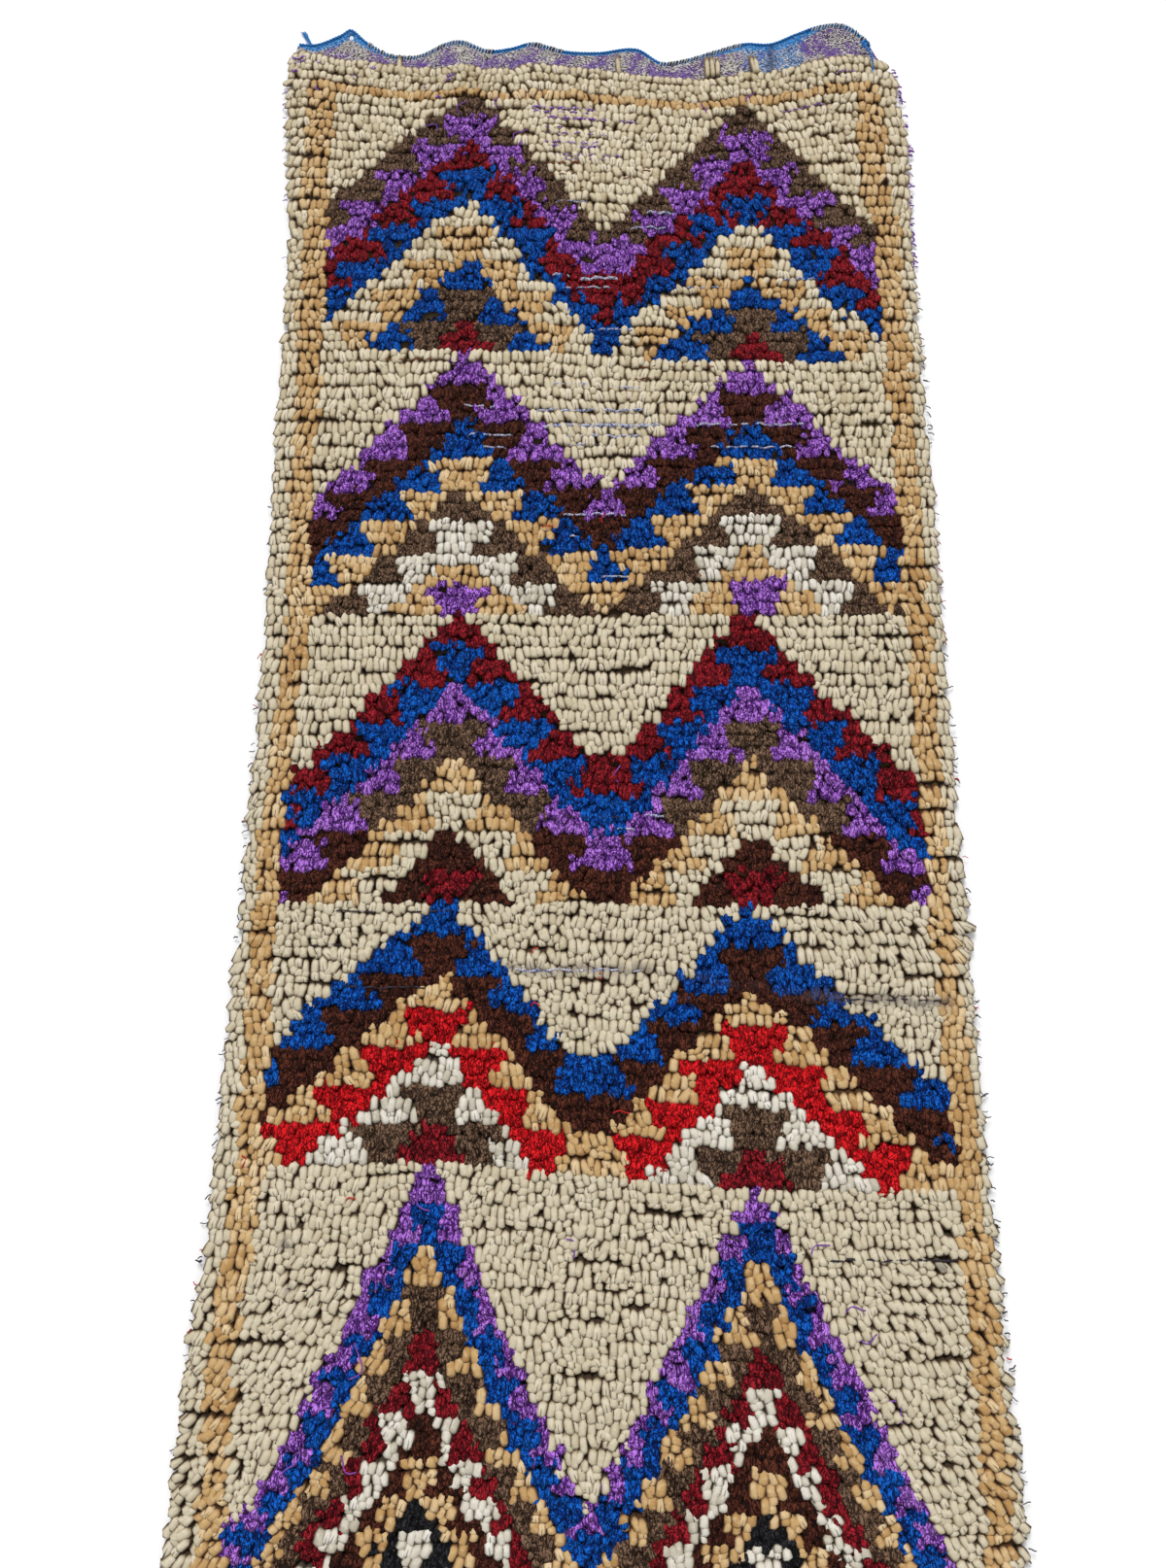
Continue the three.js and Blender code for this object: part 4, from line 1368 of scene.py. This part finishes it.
def weftRuns(worn):
    runs = []
    for start, end, down, thick in worn:
        count = max(int((end - start) / 2.2), 5)
        x = np.linspace(start, end, count)
        base = rug["top"] - down
        y = rowHeight(base, x) + 0.8 * np.sin(x / 9 + down) + 0.6 * np.sin(x / 3.7 + down * 2)
        fade = min(8, (end - start) / 4)
        ends = smoothStep(x, start, start + fade) * (1 - smoothStep(x, end - fade, end))
        z = weftLie["height"] + weftLie["middleRise"] * ends + weftLie["dash"] * np.sin(x / 2.9 + down)
        middle = np.column_stack([x, y, z])
        for run in twistedPlies(middle, weftLie["spread"] * thick, weftLie["pitch"], down):
            runs.append((run, weftLie["ply"] * thick))
    return runs


addYarns("worn_wefts_purple", weftRuns(wornWefts["purple"]), "purple", (214, 208, 216))
addYarns("worn_wefts_pale", weftRuns(wornWefts["lavender"]), "lavender", (70, 92, 150))
addYarns("worn_wefts_brown", weftRuns(wornWefts["brown"]), "brown", (60, 36, 24))
addYarns("worn_wefts_dark", weftRuns(wornWefts["dark"]), "dark")

# Weft ends that stick out at the selvedges
weftEnds = {"length": (3.5, 9), "radius": 0.55, "height": (3, 8), "inside": 2}


def weftEndRuns(side, fromDown, toDown, count, thick=1.0):
    runs = []
    for down in np.sort(dice.uniform(fromDown, toDown, count)):
        y = rug["top"] - down
        x = float(rightEdge(y) if side > 0 else leftEdge(y)) + side * weftEnds["inside"]
        length = dice.uniform(*weftEnds["length"])
        turn = dice.normal(-0.2, 0.5)
        z = dice.uniform(*weftEnds["height"])
        t = np.linspace(0, 1, 5)
        xs = x + side * (t * length * math.cos(turn) - weftEnds["inside"])
        ys = y + t * length * math.sin(turn) + 0.7 * np.sin(t * 5 + down)
        zs = z + 1.5 * np.sin(t * 3) - t * 1.5
        runs.append((np.column_stack([xs, ys, zs]), thick * weftEnds["radius"] * dice.uniform(0.8, 1.5)))
    return runs


# Loose curls and lint over the pile: place across, down the rug, length, turn in radians and how far it bows
looseLie = {"height": 14.4, "radius": 0.75}
purpleLoose = [
    (-175, 1612, 34, 2.2, 7), (-215, 1665, 30, -2.3, -8), (-240, 1700, 26, -2.0, 6),
    (-252, 1775, 34, 1.2, -9), (-300, 1835, 30, -1.9, 6), (-240, 1860, 22, 2.6, 5),
    (228, 1655, 22, 0.6, 4), (262, 1712, 20, 0.3, 4), (275, 1738, 18, 0.1, -4),
    (300, 1795, 24, -0.8, 6), (-30, 1640, 20, -0.9, 5), (28, 1137, 20, 1.7, 5), (-190, 160, 24, 1.4, 5),
    (-220, 190, 22, 2.4, -6), (-112, 205, 24, 1.0, 6), (150, 165, 26, 1.5, -6), (-135, 148, 18, 1.9, 4),
    (215, 140, 18, 1.2, 4),
]
redLoose = [
    (-70, 1338, 9, 1.0, 2), (8, 1367, 8, 2.0, 2), (-70, 1397, 9, 0.4, 3), (-380, 1556, 12, -1.2, 3),
    (20, 1512, 18, 0.1, 2), (-265, 1602, 10, 0.4, 2), (70, 1572, 8, 0.2, 1), (10, 798, 12, 1.5, 2),
    (-66, 804, 14, 0.1, 1),
]


def looseRuns(places):
    runs = []
    for x, down, length, turn, bow in places:
        t = np.linspace(0, 1, 12)
        along = t * length
        aside = bow * np.sin(t * math.pi * 1.4)
        xs = x + along * math.cos(turn) - aside * math.sin(turn)
        ys = rug["top"] - down + along * math.sin(turn) + aside * math.cos(turn)
        zs = looseLie["height"] + np.sin(t * 6 + x)
        runs.append((np.column_stack([xs, ys, zs]), looseLie["radius"]))
    return runs


purpleEnds = looseRuns(purpleLoose) + weftEndRuns(1, 70, 420, 44, 1.7) + weftEndRuns(-1, 90, 420, 12)
addYarns("loose_curls_purple", purpleEnds, "purple")
redEnds = looseRuns(redLoose) + weftEndRuns(1, 500, 2000, 14) + weftEndRuns(-1, 900, 2000, 7)
addYarns("loose_ends_red", redEnds, "red")
darkEnds = weftEndRuns(1, 420, 2100, 90) + weftEndRuns(-1, 700, 2100, 42)
addYarns("loose_ends_dark", darkEnds, "dark")

# Studio: pale floor, and soft light that comes from beyond the rug's top end
studio = {"floor": 9.0, "room": 0.62, "light": 2.3, "lightTurn": (-42, -8, 0), "softness": 24}
bpy.ops.object.select_all(action="DESELECT")
bpy.ops.mesh.primitive_plane_add(size=studio["floor"], location=(0, 0, -0.0005))
floor = bpy.context.object
floor.name = "studio_floor"
floorFinish = Finish("studioFloor")
floorFinish.shader.inputs["Base Color"].default_value = (0.93, 0.93, 0.93, 1)
floorFinish.shader.inputs["Roughness"].default_value = 0.9
floor.data.materials.append(floorFinish.material)
floor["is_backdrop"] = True

bpy.ops.object.light_add(
    type="SUN", location=(0, 2, 3), rotation=[math.radians(angle) for angle in studio["lightTurn"]],
)
mainLight = bpy.context.object
mainLight.data.energy = studio["light"]
mainLight.data.angle = math.radians(studio["softness"])
world = bpy.data.worlds.new("paleRoom")
world.use_nodes = True
world.node_tree.nodes["Background"].inputs["Color"].default_value = (1, 1, 1, 1)
world.node_tree.nodes["Background"].inputs["Strength"].default_value = studio["room"]
bpy.context.scene.world = world
bpy.context.scene.view_settings.view_transform = "Standard"
print("studio lit")

low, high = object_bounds()
